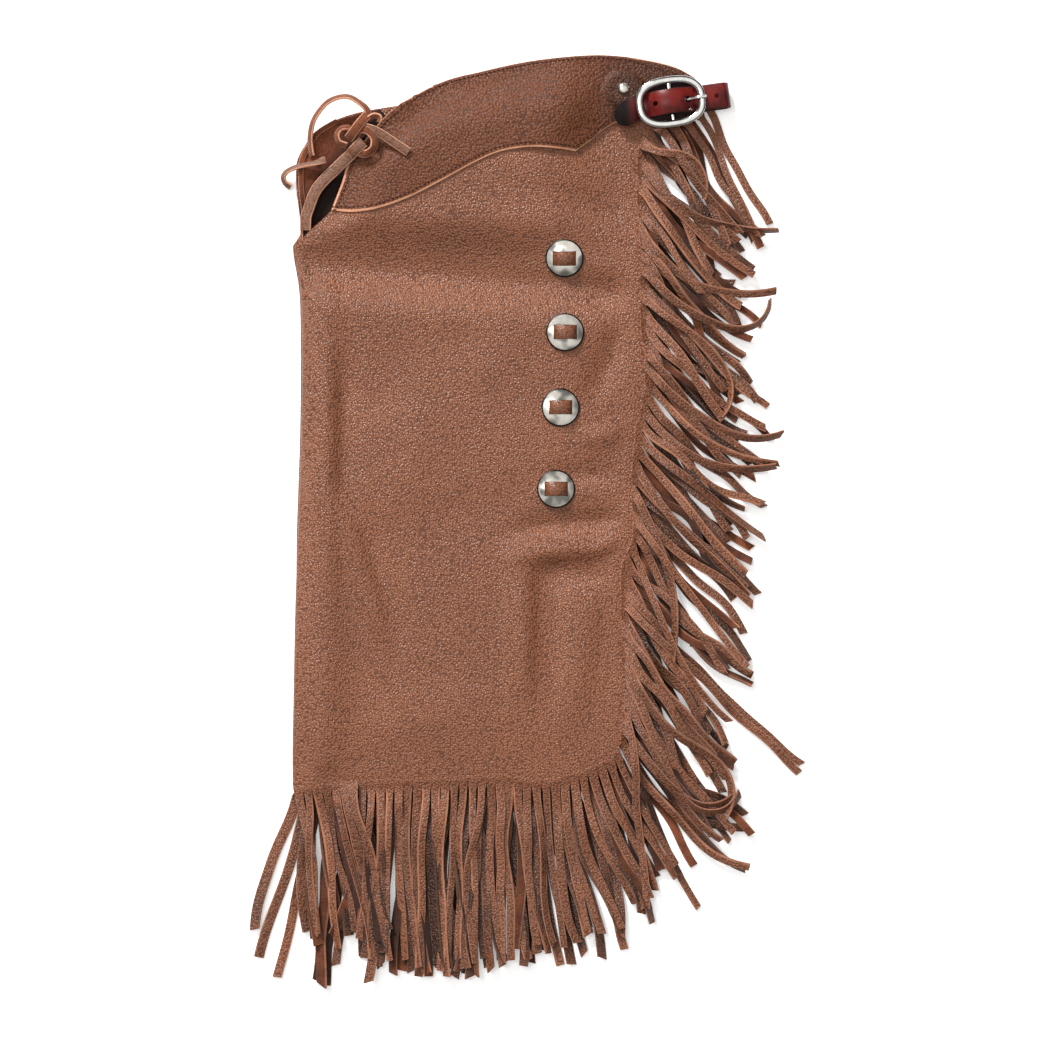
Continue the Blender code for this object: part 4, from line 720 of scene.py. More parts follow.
def plan_fringes(fine_grid, fine_normals):
    """The fringes' strands, laid as in the solids: lower ones first, then the upper ones over them."""
    (hem_edge, hem_wall), (side_edge, side_wall) = edge_of(fine_grid, fine_normals)
    grid = panel_grid()
    normals = vertex_normals(grid)
    rings = hidden_rings(grid, normals)
    columns = grid.shape[1]
    loop = boundary(grid)
    side_end = max(k for k, (row, column) in enumerate(loop) if column == columns - 1)
    hem = list(range(0, columns))
    side = list(range(columns - 1, side_end))
    top_edge = np.array([grid[index] for index in loop])
    low = rings[4]
    low_edge = np.column_stack([low[:, :2], np.full(len(low), FLOOR_GAP)])
    low_wall = np.tile([0.0, 0.0, WALL], (len(low), 1))
    fringes = {}
    middle_edge = np.column_stack([0.5 * (low[:, :2] + top_edge[:, :2]), np.full(len(low), MIDDLE_HEIGHT)])
    for name, edge, thick, count, rules, axis, heroes, seed, spread, rings_per in (
            ("hem_fringe_under", low_edge[hem], low_wall[hem], HEM_UNDER_COUNT, HEM_UNDER_RULE, 0, (), 11, 4,
             UNDER_RINGS),
            ("side_fringe_under", low_edge[side], low_wall[side], SIDE_UNDER_COUNT, SIDE_UNDER_RULE, 1,
             UNDER_HEROES, 12, 9, UNDER_RINGS),
            ("hem_middle", middle_edge[hem], low_wall[hem], HEM_MIDDLE_COUNT, HEM_TOP_RULE, 0, (), 15, 8,
             UNDER_RINGS),
            ("side_middle", middle_edge[side], low_wall[side], SIDE_MIDDLE_COUNT, SIDE_TOP_RULE, 1, (), 16, 12,
             UNDER_RINGS),
            ("hem_fringe_top", hem_edge, hem_wall, HEM_TOP_COUNT, HEM_TOP_RULE, 0, (), 13, 4, TOP_RINGS),
            ("side_fringe_top", side_edge, side_wall, SIDE_TOP_COUNT, SIDE_TOP_RULE, 1, SIDE_HEROES, 14,
             5, TOP_RINGS)):
        strands, run = plan_strands(edge, count, rules, axis, heroes, seed, spread, rings_per)
        if name in ("hem_middle", "hem_fringe_under"):
            for strand in strands:
                strand["width"] *= LOWER_WIDER
        fringes[name] = (strip_stations(edge, thick, run, strands), strands)
    pile = Pile()
    for group in (("hem_fringe_under", "side_fringe_under"), ("hem_middle", "side_middle"),
                  ("hem_fringe_top", "side_fringe_top")):
        laid = [strand for name in group for strand in fringes[name][1]]
        for strand in sorted(laid, key=lambda s: s["rank"]):
            lay_strand(pile, strand["root"], strand)
    # How covered each ring is, for the painted shade along the strands
    for name, (stations, strands) in fringes.items():
        for strand in strands:
            strand["cover"] = [pile.cover(strand["path"][k * FINE], strand["heights"][k] + 1.0)
                               for k in range(strand["rings"] + 1)]
    return fringes


# ---- materials

def add_node(tree, kind, inputs=(), **settings):
    """A shader node with its settings, and with inputs given as numbers or linked sockets."""
    node = tree.nodes.new(kind)
    for key, value in settings.items():
        setattr(node, key, value)
    for key, value in dict(inputs).items():
        if isinstance(value, bpy.types.NodeSocket):
            tree.links.new(value, node.inputs[key])
        else:
            node.inputs[key].default_value = value
    return node


def ramp(tree, source, stops, smooth=True):
    """A colour ramp: stops are (place, colour)."""
    node = add_node(tree, "ShaderNodeValToRGB", {"Fac": source})
    node.color_ramp.interpolation = "EASE" if smooth else "LINEAR"
    while len(node.color_ramp.elements) < len(stops):
        node.color_ramp.elements.new(0.5)
    for element, (place, colour) in zip(node.color_ramp.elements, stops):
        element.position = place
        element.color = (*colour, 1)
    return node.outputs["Color"]


def shader_material(name):
    finish = bpy.data.materials.new(name)
    finish.use_nodes = True
    tree = finish.node_tree
    return finish, tree, tree.nodes["Principled BSDF"]


def with_painted_shade(tree, tone):
    """The tone, darkened by the painted shade stored along the strands."""
    stored = add_node(tree, "ShaderNodeAttribute", attribute_name="painted_shade")
    return mixed_colour(tree, tone, stored.outputs["Color"])


def scaled(colour, factor):
    return tuple(min(c * factor, 1.0) for c in colour)


def mixed_colour(tree, first, second, kind="MULTIPLY", factor=1.0):
    """Two colours mixed: the result's socket."""
    node = tree.nodes.new("ShaderNodeMix")
    node.data_type = "RGBA"
    node.blend_type = kind
    sockets = {socket.identifier: socket for socket in node.inputs}
    for key, value in (("Factor_Float", factor), ("A_Color", first), ("B_Color", second)):
        if isinstance(value, bpy.types.NodeSocket):
            tree.links.new(value, sockets[key])
        else:
            sockets[key].default_value = value if key == "Factor_Float" else (*value, 1)
    return next(socket for socket in node.outputs if socket.identifier == "Result_Color")


def grain_material(name, colour, cell=0.0021, depth=0.0007, roughness=0.36, gleam=0.36,
                   mottling=0.06, strands=False, shade_and_wear=()):
    """Pebbled grain side: domed pebbles, darker creases, a softly clouded tone, and darker places that are painted
    shade, partly wear, where asked.
    """
    finish, tree, shader = shader_material(name)
    place = add_node(tree, "ShaderNodeTexCoord").outputs["Object"]
    warp = add_node(tree, "ShaderNodeTexNoise", {"Vector": place, "Scale": 0.45 / cell, "Detail": 2.0})
    bent = add_node(tree, "ShaderNodeVectorMath", {0: warp.outputs["Color"], 1: (cell * 0.9,) * 3},
                    operation="MULTIPLY")
    moved = add_node(tree, "ShaderNodeVectorMath", {0: place, 1: bent.outputs["Vector"]}, operation="ADD")
    pebbles = add_node(tree, "ShaderNodeTexVoronoi", {"Vector": moved.outputs["Vector"], "Scale": 1 / cell,
                                                      "Randomness": 0.9})
    height = add_node(tree, "ShaderNodeMapRange", {"Value": pebbles.outputs["Distance"], "From Min": 0.12,
                                                   "From Max": 0.78, "To Min": 1.0, "To Max": 0.0})
    patches = add_node(tree, "ShaderNodeTexNoise", {"Vector": place, "Scale": 16.0, "Detail": 4.0})
    tone = ramp(tree, patches.outputs["Fac"], [(0.3, scaled(colour, 1 - mottling)),
                                               (0.7, scaled(colour, 1 + mottling))])
    creases = ramp(tree, height.outputs["Result"], [(0.0, (0.48, 0.42, 0.38)), (0.4, (0.97, 0.97, 0.97)),
                                                    (1.0, (1.14, 1.17, 1.20))], smooth=False)
    tone = mixed_colour(tree, tone, creases)
    # Painted shade stored along the strands, if asked
    if strands:
        tone = with_painted_shade(tree, tone)
    # Each place darkens towards its middle: painted shade, partly wear
    for spot, inner, outer, dim in shade_and_wear:
        away = add_node(tree, "ShaderNodeVectorMath", {0: place, 1: tuple(value * MM for value in spot)},
                        operation="DISTANCE")
        share = add_node(tree, "ShaderNodeMapRange", {"Value": away.outputs["Value"], "From Min": inner * MM,
                                                      "From Max": outer * MM, "To Min": dim, "To Max": 1.0},
                         interpolation_type="SMOOTHSTEP")
        tone = mixed_colour(tree, tone, share.outputs["Result"])
    tree.links.new(tone, shader.inputs["Base Color"])
    fine = add_node(tree, "ShaderNodeTexNoise", {"Vector": place, "Scale": 0.8 / cell, "Detail": 2.0})
    first = add_node(tree, "ShaderNodeBump", {"Height": height.outputs["Result"], "Strength": 1.0,
                                              "Distance": depth})
    second = add_node(tree, "ShaderNodeBump", {"Height": fine.outputs["Fac"], "Strength": 0.35,
                                               "Distance": depth, "Normal": first.outputs["Normal"]})
    tree.links.new(second.outputs["Normal"], shader.inputs["Normal"])
    shader.inputs["Roughness"].default_value = roughness
    shader.inputs["Specular IOR Level"].default_value = gleam
    return finish


def suede_material(name, colour, dark, fibre=900.0, roughness=0.95, nap=0.2, deep=None,
                   strands=False):
    """Flesh side or a cut edge: matt fibres with a patchy tone. deep paints shade on it, fading to near black towards
    one side, and strands multiplies in the painted shade stored along the strands.
    """
    finish, tree, shader = shader_material(name)
    place = add_node(tree, "ShaderNodeTexCoord").outputs["Object"]
    patches = add_node(tree, "ShaderNodeTexNoise", {"Vector": place, "Scale": 90.0, "Detail": 4.0})
    fibres = add_node(tree, "ShaderNodeTexNoise", {"Vector": place, "Scale": fibre, "Detail": 4.0})
    both = add_node(tree, "ShaderNodeMath", {0: patches.outputs["Fac"], 1: 0.6, 2: fibres.outputs["Fac"]},
                    operation="MULTIPLY_ADD")
    tone = ramp(tree, both.outputs["Value"], [(0.55, dark), (1.05, colour)])
    if deep:
        normal, start, end = deep
        side = add_node(tree, "ShaderNodeVectorMath", {0: place, 1: normal}, operation="DOT_PRODUCT")
        share = add_node(tree, "ShaderNodeMapRange", {"Value": side.outputs["Value"], "From Min": start,
                                                      "From Max": end}, interpolation_type="SMOOTHSTEP")
        # Painted shade: near black towards one side
        tone = mixed_colour(tree, scaled(dark, 0.12), tone, "MIX", share.outputs["Result"])
    if strands:
        tone = with_painted_shade(tree, tone)
    tree.links.new(tone, shader.inputs["Base Color"])
    bump = add_node(tree, "ShaderNodeBump", {"Height": fibres.outputs["Fac"], "Strength": 0.6, "Distance": 0.0004})
    tree.links.new(bump.outputs["Normal"], shader.inputs["Normal"])
    shader.inputs["Roughness"].default_value = roughness
    shader.inputs["Specular IOR Level"].default_value = 0.25
    shader.inputs["Sheen Weight"].default_value = nap
    shader.inputs["Sheen Roughness"].default_value = 0.5
    return finish


def strap_material(name, gloss):
    """Glossy burgundy strap leather, waxed, cloudy, and nearly black towards its pointed tip."""
    finish, tree, shader = shader_material(name)
    place = add_node(tree, "ShaderNodeTexCoord").outputs["Object"]
    clouds = add_node(tree, "ShaderNodeTexNoise", {"Vector": place, "Scale": 55.0, "Detail": 4.0})
    tone = ramp(tree, clouds.outputs["Fac"], [(0.35, (0.050, 0.004, 0.004)), (0.65, (0.135, 0.009, 0.007))])
    axes = add_node(tree, "ShaderNodeSeparateXYZ", {"Vector": place})
    along = add_node(tree, "ShaderNodeMapRange", {"Value": axes.outputs["X"], "From Min": STRAP_DARK[0] * MM,
                                                  "From Max": STRAP_DARK[1] * MM},
                     interpolation_type="SMOOTHSTEP")
    tone = mixed_colour(tree, (0.004, 0.001, 0.001), tone, "MIX", along.outputs["Result"])
    rough = add_node(tree, "ShaderNodeMapRange", {"Value": along.outputs["Result"], "To Min": 0.85, "To Max": 0.34})
    tree.links.new(rough.outputs["Result"], shader.inputs["Roughness"])
    tree.links.new(tone, shader.inputs["Base Color"])
    pores = add_node(tree, "ShaderNodeTexVoronoi", {"Vector": place, "Scale": 900.0})
    bump = add_node(tree, "ShaderNodeBump", {"Height": pores.outputs["Distance"], "Strength": 0.10,
                                             "Distance": 0.0003})
    tree.links.new(bump.outputs["Normal"], shader.inputs["Normal"])
    shader.inputs["Specular IOR Level"].default_value = gloss
    return finish


def metal_material(name, colour, roughness, streak=0.0, dark_reflection_clouds=0.0):
    """Plated metal with faint handling marks, and broad darker clouds where it is domed: painted dark reflections."""
    finish, tree, shader = shader_material(name)
    place = add_node(tree, "ShaderNodeTexCoord").outputs["Object"]
    marks = add_node(tree, "ShaderNodeTexNoise", {"Vector": place, "Scale": 160.0, "Detail": 5.0})
    tone = ramp(tree, marks.outputs["Fac"], [(0.3, scaled(colour, 0.82)), (0.7, colour)])
    # Painted reflection: broad dark clouds in the tone
    if dark_reflection_clouds:
        clouds = add_node(tree, "ShaderNodeTexNoise", {"Vector": place, "Scale": 62.0, "Detail": 1.0,
                                                       "Distortion": 0.5})
        dark = ramp(tree, clouds.outputs["Fac"], [(0.36, (1 - dark_reflection_clouds,) * 3), (0.60, (1.0, 1.0, 1.0))])
        tone = mixed_colour(tree, tone, dark)
    tree.links.new(tone, shader.inputs["Base Color"])
    rough = add_node(tree, "ShaderNodeMapRange", {"Value": marks.outputs["Fac"], "To Min": roughness * 0.6,
                                                  "To Max": roughness * 1.5 + streak})
    tree.links.new(rough.outputs["Result"], shader.inputs["Roughness"])
    shader.inputs["Metallic"].default_value = 1.0
    return finish


GRAIN_COLOUR = (0.212, 0.076, 0.036)
STRAP_DARK = (98.0, 116.0)
# Where the second leg's flesh shows left of the lace, shade is painted on it, near black towards the top leg's front
# edge.
FRONT_PAINTED_SHADE = ((-0.796, 0.605, 0.0), 0.3575, 0.3915)
GRAIN = grain_material("grain", GRAIN_COLOUR)
# The yoke's darker ring round the rivet's bump and its broad darkening towards the buckle are painted shade, partly
# wear.
YOKE_GRAIN = grain_material("yoke_grain", (0.128, 0.039, 0.0145), cell=0.0025, depth=0.0007, roughness=0.48,
                            gleam=0.26, shade_and_wear=(((98, 431.5, 17), 17.5, 20.5, 0.80), ((122, 424, 15), 22, 72, 0.58)))
# The strand finishes multiply in the painted shade stored along the strands.
STRAND_GRAIN = grain_material("strand_grain", GRAIN_COLOUR, roughness=0.42, strands=True)
EDGE = suede_material("cut_edge", (0.62, 0.30, 0.18), (0.42, 0.18, 0.10))
STRAND_EDGE = suede_material("strand_edge", (0.40, 0.170, 0.098), (0.22, 0.083, 0.043), strands=True)
STRAND_FLESH = suede_material("strand_flesh", (0.21, 0.062, 0.024), (0.07, 0.018, 0.008), strands=True)
FLESH = suede_material("flesh", (0.22, 0.063, 0.025), (0.075, 0.019, 0.008))
PAINTED_SHADE_FLESH = suede_material("painted_shade_flesh", (0.20, 0.056, 0.022), (0.065, 0.016, 0.007), deep=FRONT_PAINTED_SHADE)
THREAD = suede_material("thread", (0.085, 0.022, 0.011), (0.035, 0.009, 0.005), roughness=0.8, nap=0.0)
LACE_GRAIN = grain_material("lace_grain", (0.165, 0.070, 0.037), cell=0.0018, depth=0.0003, roughness=0.5)
LACE_EDGE = suede_material("lace_edge", (0.60, 0.30, 0.19), (0.38, 0.16, 0.09))
LACE_FLESH = suede_material("lace_flesh", (0.22, 0.066, 0.026), (0.075, 0.020, 0.009))
BELT = strap_material("belt", 0.22)
CHAPE = strap_material("chape", 0.06)
# A near-black sheet under the buckle: partly a guessed leather backing, partly painted shade in the buckle's opening.
SHADE_BACKING = suede_material("shade_backing", (0.020, 0.004, 0.003), (0.008, 0.002, 0.002), roughness=0.7, nap=0.0)
BELT_EDGE = suede_material("belt_edge", (0.03, 0.006, 0.005), (0.012, 0.004, 0.003), roughness=0.6, nap=0.0)
TAB_GRAIN = grain_material("tab_grain", scaled(GRAIN_COLOUR, 0.85), depth=0.0003, roughness=0.32)
NICKEL = metal_material("nickel", (0.76, 0.72, 0.66), 0.19, 0.04)
# The conchos' dark clouds are painted reflections.
CONCHO_NICKEL = metal_material("concho_nickel", (0.78, 0.74, 0.68), 0.16, 0.04, dark_reflection_clouds=0.72)
CHROME = metal_material("chrome", (0.95, 0.95, 0.93), 0.10)
# Near-black metal on the conchos' rims and in the buckle's grooves: painted dark reflection and shade, not tarnish.
BLACK_REFLECTION = metal_material("black_reflection", (0.030, 0.028, 0.026), 0.4)


# ---- meshes

def piece(name, mesh, finishes, replaces=(), sharp=40):
    """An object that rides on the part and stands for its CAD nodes."""
    thing = bpy.data.objects.new(name, mesh)
    bpy.context.scene.collection.objects.link(thing)
    for finish in finishes:
        mesh.materials.append(finish)
    mesh.shade_smooth()
    if sharp:
        mesh.set_sharp_from_angle(angle=math.radians(sharp))
    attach(thing, "root")
    if replaces:
        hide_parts(*replaces)
    return thing


def slab(name, top, bottom, finishes, replaces=(), lip=0.0, sharp=50):
    """A closed leather wall: grain on top, flesh below, and a raw edge round it, with a level lip if asked."""
    rows, columns = top.shape[:2]
    count = rows * columns
    points = np.concatenate([top.reshape(-1, 3), bottom.reshape(-1, 3)])
    faces = grid_faces(rows, columns)
    below = [tuple(count + k for k in reversed(face)) for face in faces]
    indices = boundary(top)
    loop = [row * columns + column for row, column in indices]
    before = loop
    rim = []
    size = len(loop)
    if lip:
        upper = np.array([top[index] for index in indices])
        lower = np.array([bottom[index] for index in indices])
        middle = upper + (lower - upper) * np.array([0.9, 0.9, lip])
        before = list(range(2 * count, 2 * count + size))
        points = np.concatenate([points, middle])
        rim += [(loop[k], before[k], before[(k + 1) % size], loop[(k + 1) % size]) for k in range(size)]
    for k, a in enumerate(loop):
        n = (k + 1) % size
        rim.append((before[k], count + a, count + loop[n], before[n]))
    mesh = mesh_from(name, points, faces + below + rim)
    index = [0] * len(faces) + [2] * len(below) + [1] * len(rim)
    mesh.polygons.foreach_set("material_index", index)
    return piece(name, mesh, finishes, replaces, sharp)


def ray_tree(*meshes):
    points = []
    faces = []
    for mesh in meshes:
        start = len(points)
        points += [v.co.copy() for v in mesh.vertices]
        faces += [tuple(start + k for k in face.vertices) for face in mesh.polygons]
    return BVHTree.FromPolygons(points, faces)


def top_under(tree, x, y):
    """Height in millimetres of what lies highest under a place, or None."""
    hit = tree.ray_cast(Vector((x * MM, y * MM, 1.0)), Vector((0, 0, -1)))
    return None if hit[0] is None else hit[0].z / MM


def make_panel():
    """The top leg's leather, fine enough for its creases, out to where the strands begin."""
    columns = np.concatenate([[0, 0.8, 1.8, 3.2, 5, 7, 9.5, 12.5, 16, 20], np.linspace(24, 328, 84)])
    rows = np.linspace(ROWS[0], ROWS[-1], 150)
    grid = panel_grid(columns, rows, 48, fine=True)
    normals = vertex_normals(grid)
    return grid, normals, len(rows) - 1


def make_leg(grid, normals):
    rows, columns = grid.shape[:2]
    outer = grid + normals * WALL
    inner = grid.copy()
    reach = STRIP_GAP + STRIP_WIDTH
    hem_out = outward(np.array([grid[index][:2] for index in boundary(grid)]))
    loop = boundary(grid)
    away = {index: hem_out[k] for k, index in enumerate(loop)}
    new_outer = np.zeros((rows + 1, columns + 1, 3))
    new_inner = np.zeros((rows + 1, columns + 1, 3))
    for target, source in ((new_outer, outer), (new_inner, inner)):
        target[1:, :-1] = source
        for column in range(columns):
            out = away[(0, column)] if 0 < column < columns - 1 else np.array([0.0, -1.0])
            target[0, column] = source[0, column] + np.array([*(out * reach), -EDGE_DIP])
        for row in range(rows):
            out = away[(row, columns - 1)] if 0 < row < rows - 1 else np.array([1.0, 0.0])
            if row == rows - 1:
                target[row + 1, columns] = source[row, columns - 1] + np.array([0.6, 0, 0])
            else:
                target[row + 1, columns] = source[row, columns - 1] + np.array([*(out * reach), -EDGE_DIP])
        target[0, columns] = source[0, columns - 1] + np.array([reach * 0.8, -reach * 0.8, -EDGE_DIP])
    return slab("leg_panel", new_outer, new_inner, (GRAIN, EDGE, FLESH), ("top_leg",))


def make_hidden(grid, normals, corner_row):
    """The hidden plies as one rounded stack, with its layers showing at the edges."""
    rings = hidden_rings(grid, normals, corner_row, 48 / ROWS_ABOVE)
    lowered = grid - normals * SEAM_GAP
    points = lowered.reshape(-1, 3).tolist()
    rows, columns = grid.shape[:2]
    faces = grid_faces(rows, columns)
    before = [row * columns + column for row, column in boundary(grid)]
    for ring in rings[1:]:
        start = len(points)
        points += ring.tolist()
        current = list(range(start, start + len(ring)))
        for k in range(len(current)):
            nxt = (k + 1) % len(current)
            faces.append((before[k], before[nxt], current[nxt], current[k]))
        before = current
    faces.append(tuple(before))
    mesh = mesh_from("hidden_plies", points, faces)
    work = bmesh.new()
    work.from_mesh(mesh)
    bmesh.ops.recalc_face_normals(work, faces=work.faces)
    work.to_mesh(mesh)
    work.free()
    return piece("hidden_plies", mesh, (GRAIN,), ("under_leg",), 60)


def strand_rings(strand, stations):
    """Corner rings of one strand, from the strip's face out along its smooth line."""
    rings = strand["rings"]
    fine = rings * FINE
    knots = np.column_stack([np.linspace(0, 1, rings + 1), strand["heights"], strand["turns"]])
    line = smooth_curve(knots, per_span=FINE)
    at = np.linspace(0, 1, fine + 1)
    heights = pressed(*strand["path"].T, np.interp(at, line[:, 0], line[:, 1]))
    turns = np.interp(at, line[:, 0], line[:, 2])
    first, second = strand["stations"]
    low_a, high_a = stations[first][2], stations[first][3]
    low_b, high_b = stations[second][2], stations[second][3]
    pitch = float(np.linalg.norm(high_a[:2] - high_b[:2])) + SLIT
    run = at * strand["length"]
    result = []
    for k in range(0, fine + 1, 2):
        angle, turn = strand["angles"][k], turns[k]
        side = np.array([-math.sin(angle), math.cos(angle), 0.0])
        lift = np.array([0, 0, 1.0])
        across = side * math.cos(turn) + lift * math.sin(turn)
        thick = -side * math.sin(turn) + lift * math.cos(turn)
        centre = np.array([*strand["path"][k], heights[k]])
        opened = smoothstep((run[k] - strand["slit"]) / 11.0)
        half = 0.5 * (pitch + (strand["width"] - pitch) * opened)
        left, right = (bevel * opened for bevel in strand["bevel"])
        thin = 0.5 * STRAND_THICKNESS
        dip = 0.55 * thin
        profile = [(-half + left, thin), (0, thin + 0.10 * opened), (half - right, thin), (half, thin - dip * opened),
                   (half - 0.1, -thin), (0, -thin), (-half + 0.1, -thin), (-half, thin - dip * opened)]
        ring = np.array([centre + across * a + thick * t for a, t in profile])
        floor = 0.15 - ring[:, 2].min()
        if floor > 0:
            ring[:, 2] += floor
        join = 1 - smoothstep(run[k] / 14.0)
        if join > 0:
            one_top, one_low, two_top, two_low = high_a, low_a, high_b, low_b
            if (two_top - one_top) @ across < 0:
                one_top, one_low, two_top, two_low = high_b, low_b, high_a, low_a
            spread = (two_top - one_top) * 0.5 * SLIT / max(pitch - SLIT, 1e-6)
            one_top, one_low, two_top, two_low = (one_top - spread, one_low - spread, two_top + spread,
                                                  two_low + spread)
            root = np.array([one_top, (one_top + two_top) / 2, two_top, (two_top + two_low) / 2, two_low,
                             (one_low + two_low) / 2, one_low, (one_top + one_low) / 2])
            root = root + np.array([math.cos(angle), math.sin(angle), 0.0]) * run[k]
            root[:, 2] += heights[k] - heights[0]
            ring = ring * (1 - join) + root * join
        result.append(ring)
    tip = np.array([math.cos(strand["angles"][-1]), math.sin(strand["angles"][-1]), 0.0]) * strand["slant"]
    result[-1][[0, 6, 7]] -= tip
    result[-1][[2, 3, 4]] += tip
    inward = result[0] - np.array([math.cos(strand["angles"][0]) * 4.0, math.sin(strand["angles"][0]) * 4.0, 0.9])
    inward[:, 2] = np.maximum(inward[:, 2], 0.2)
    return [inward] + result


def make_fringe(node, groups, lower, flesh_up, seed):
    """One fringe: every strand a closed band with grain, flesh and cut edges. Shade is painted along the strands:
    darker where other strands lie higher close by, the lower ones the most.
    """
    chance = np.random.default_rng(seed)
    points, faces, index, painted_shade = [], [], [], []
    sides = (0, 0, 1, 1, 2, 2, 1, 1)
    for stations, strands in groups:
        for strand in strands:
            rings = strand_rings(strand, stations)
            turned_over = chance.uniform() < flesh_up and not strand.get("hero")
            start = len(points)
            own = chance.uniform(0.72, 1.02)
            for k, ring in enumerate(rings):
                points += ring.tolist()
                share = k / (len(rings) - 1)
                # Painted shade: the tone falls where other strands lie higher close by
                over = np.interp(share, np.linspace(0, 1, strand["rings"] + 1), strand["cover"])
                tone = 1 - (0.78 if lower else 0.5) * smoothstep(over / (0.75 if lower else 0.9))
                painted_shade += [tone * (own if lower else 1 + (own - 1) * smoothstep(share / 0.25))] * 8
            for k in range(len(rings) - 1):
                a = start + 8 * k
                b = a + 8
                for j in range(8):
                    n = (j + 1) % 8
                    faces.append((a + j, b + j, b + n, a + n))
                    kind = sides[j]
                    if turned_over and kind != 1:
                        kind = 2 - kind
                    index.append(kind)
            last = start + 8 * (len(rings) - 1)
            faces.append(tuple(start + j for j in range(8)))
            faces.append(tuple(last + j for j in reversed(range(8))))
            index += [1, 1]
    mesh = mesh_from(node + "_strands", points, faces)
    mesh.attributes.new("painted_shade", "FLOAT", "POINT").data.foreach_set("value", painted_shade)
    mesh.polygons.foreach_set("material_index", index)
    work = bmesh.new()
    work.from_mesh(mesh)
    bmesh.ops.recalc_face_normals(work, faces=work.faces)
    work.to_mesh(mesh)
    work.free()
    return piece(mesh.name, mesh, (STRAND_GRAIN, STRAND_EDGE, STRAND_FLESH), (node,), 34)


def coons(left, right, bottom, top, s, t):
    """Points of a four-sided patch. left and right have a point for each row, s and t are fractions."""
    patch = np.zeros((len(t), len(s), 2))
    for row, tt in enumerate(t):
        ruled = (1 - s)[:, None] * left[row] + s[:, None] * right[row]
        low = bottom - ((1 - s)[:, None] * bottom[0] + s[:, None] * bottom[-1])
        high = top - ((1 - s)[:, None] * top[0] + s[:, None] * top[-1])
        patch[row] = ruled + (1 - tt) * low + tt * high
    return patch


def yoke_plan(columns, rows):
    """Plan of the yoke: rows from its lower edge to the waist."""
    lower = np.concatenate([smooth_curve(YOKE_LOWER), smooth_curve(YOKE_RISE)[1:]])
    share = np.concatenate([[0], np.cumsum(np.linalg.norm(np.diff(lower, axis=0), axis=1))])
    share /= share[-1]
    s = np.linspace(0, 1, columns)
    cusp = share[len(smooth_curve(YOKE_LOWER)) - 1]
    s[int(np.abs(s - cusp).argmin())] = cusp
    lower = np.stack([np.interp(s, share, lower[:, k]) for k in range(2)], 1)
    waist = smooth_curve([(-125, 417), (-83, 439), (-45, 449), (-4, 458), (37, 463), (77, 465.5), (115, 462),
                          (149, 454), (170, 443)])
    upper = at_fractions(waist, s)
    front = evenly(smooth_curve([(-194.5, 310), (-184, 337), (-175.5, 360), (-146, 398), (-125, 417)]), rows)
    back = evenly(smooth_curve([(168, 418), (172, 430), (170, 443)]), rows)
    return coons(front, back, lower, upper, s, np.linspace(0, 1, rows))


RIVET_BUMP = (22.0, 20.0, 3.6)
YOKE_FOLDS = [
    (36, 425, 60, 82, 34, 5.0),
    (-10, 425, 60, 4, 22, 1.0),
    (60, 400, 40, 50, 12, -0.8),
]


def make_yoke(leg):
    plan = yoke_plan(150, 46)
    tree = ray_tree(leg.data)
    heights = np.zeros(plan.shape[:2])
    for index in np.ndindex(heights.shape):
        below = top_under(tree, *plan[index])
        heights[index] = np.nan if below is None else below
    known = ~np.isnan(heights).reshape(-1)
    flat = plan.reshape(-1, 2)
    for index in zip(*np.nonzero(np.isnan(heights))):
        distance = np.linalg.norm(flat[known] - plan[index], axis=1)
        heights[index] = heights.reshape(-1)[known][int(distance.argmin())]
    heights += SEAM_GAP + np.maximum(relief(plan[..., 0], plan[..., 1], YOKE_FOLDS), 0)
    for _ in range(3):
        smoother = heights.copy()
        smoother[1:-1, 1:-1] = (heights[:-2, 1:-1] + heights[2:, 1:-1] + heights[1:-1, :-2]
                                + heights[1:-1, 2:]) / 4
        heights = np.maximum(smoother, heights - 0.15)
    away = np.hypot((plan[..., 0] - RIVET_AT[0]) / RIVET_BUMP[0], (plan[..., 1] - RIVET_AT[1]) / RIVET_BUMP[1])
    heights += RIVET_BUMP[2] * smoothstep((1.0 - away) / 0.26)
    inner = np.concatenate([plan, heights[..., None]], 2)
    normals = vertex_normals(inner)
    loop = boundary(inner)
    out = outward(np.array([inner[index][:2] for index in loop]))
    outer = inner + normals * WALL
    for k, index in enumerate(loop):
        rolled = smoothstep((inner[index][0] - 100.0) / 30.0) * (inner[index][1] > 425.0)
        waist = index[0] == plan.shape[0] - 1
        outer[index][:2] -= out[k] * ((0.5 if waist else 2.2) + 3.2 * rolled)
        outer[index][2] -= 0.2
    return slab("yoke", outer, inner, (YOKE_GRAIN, EDGE, FLESH), ("top_yoke",), lip=0.22), outer


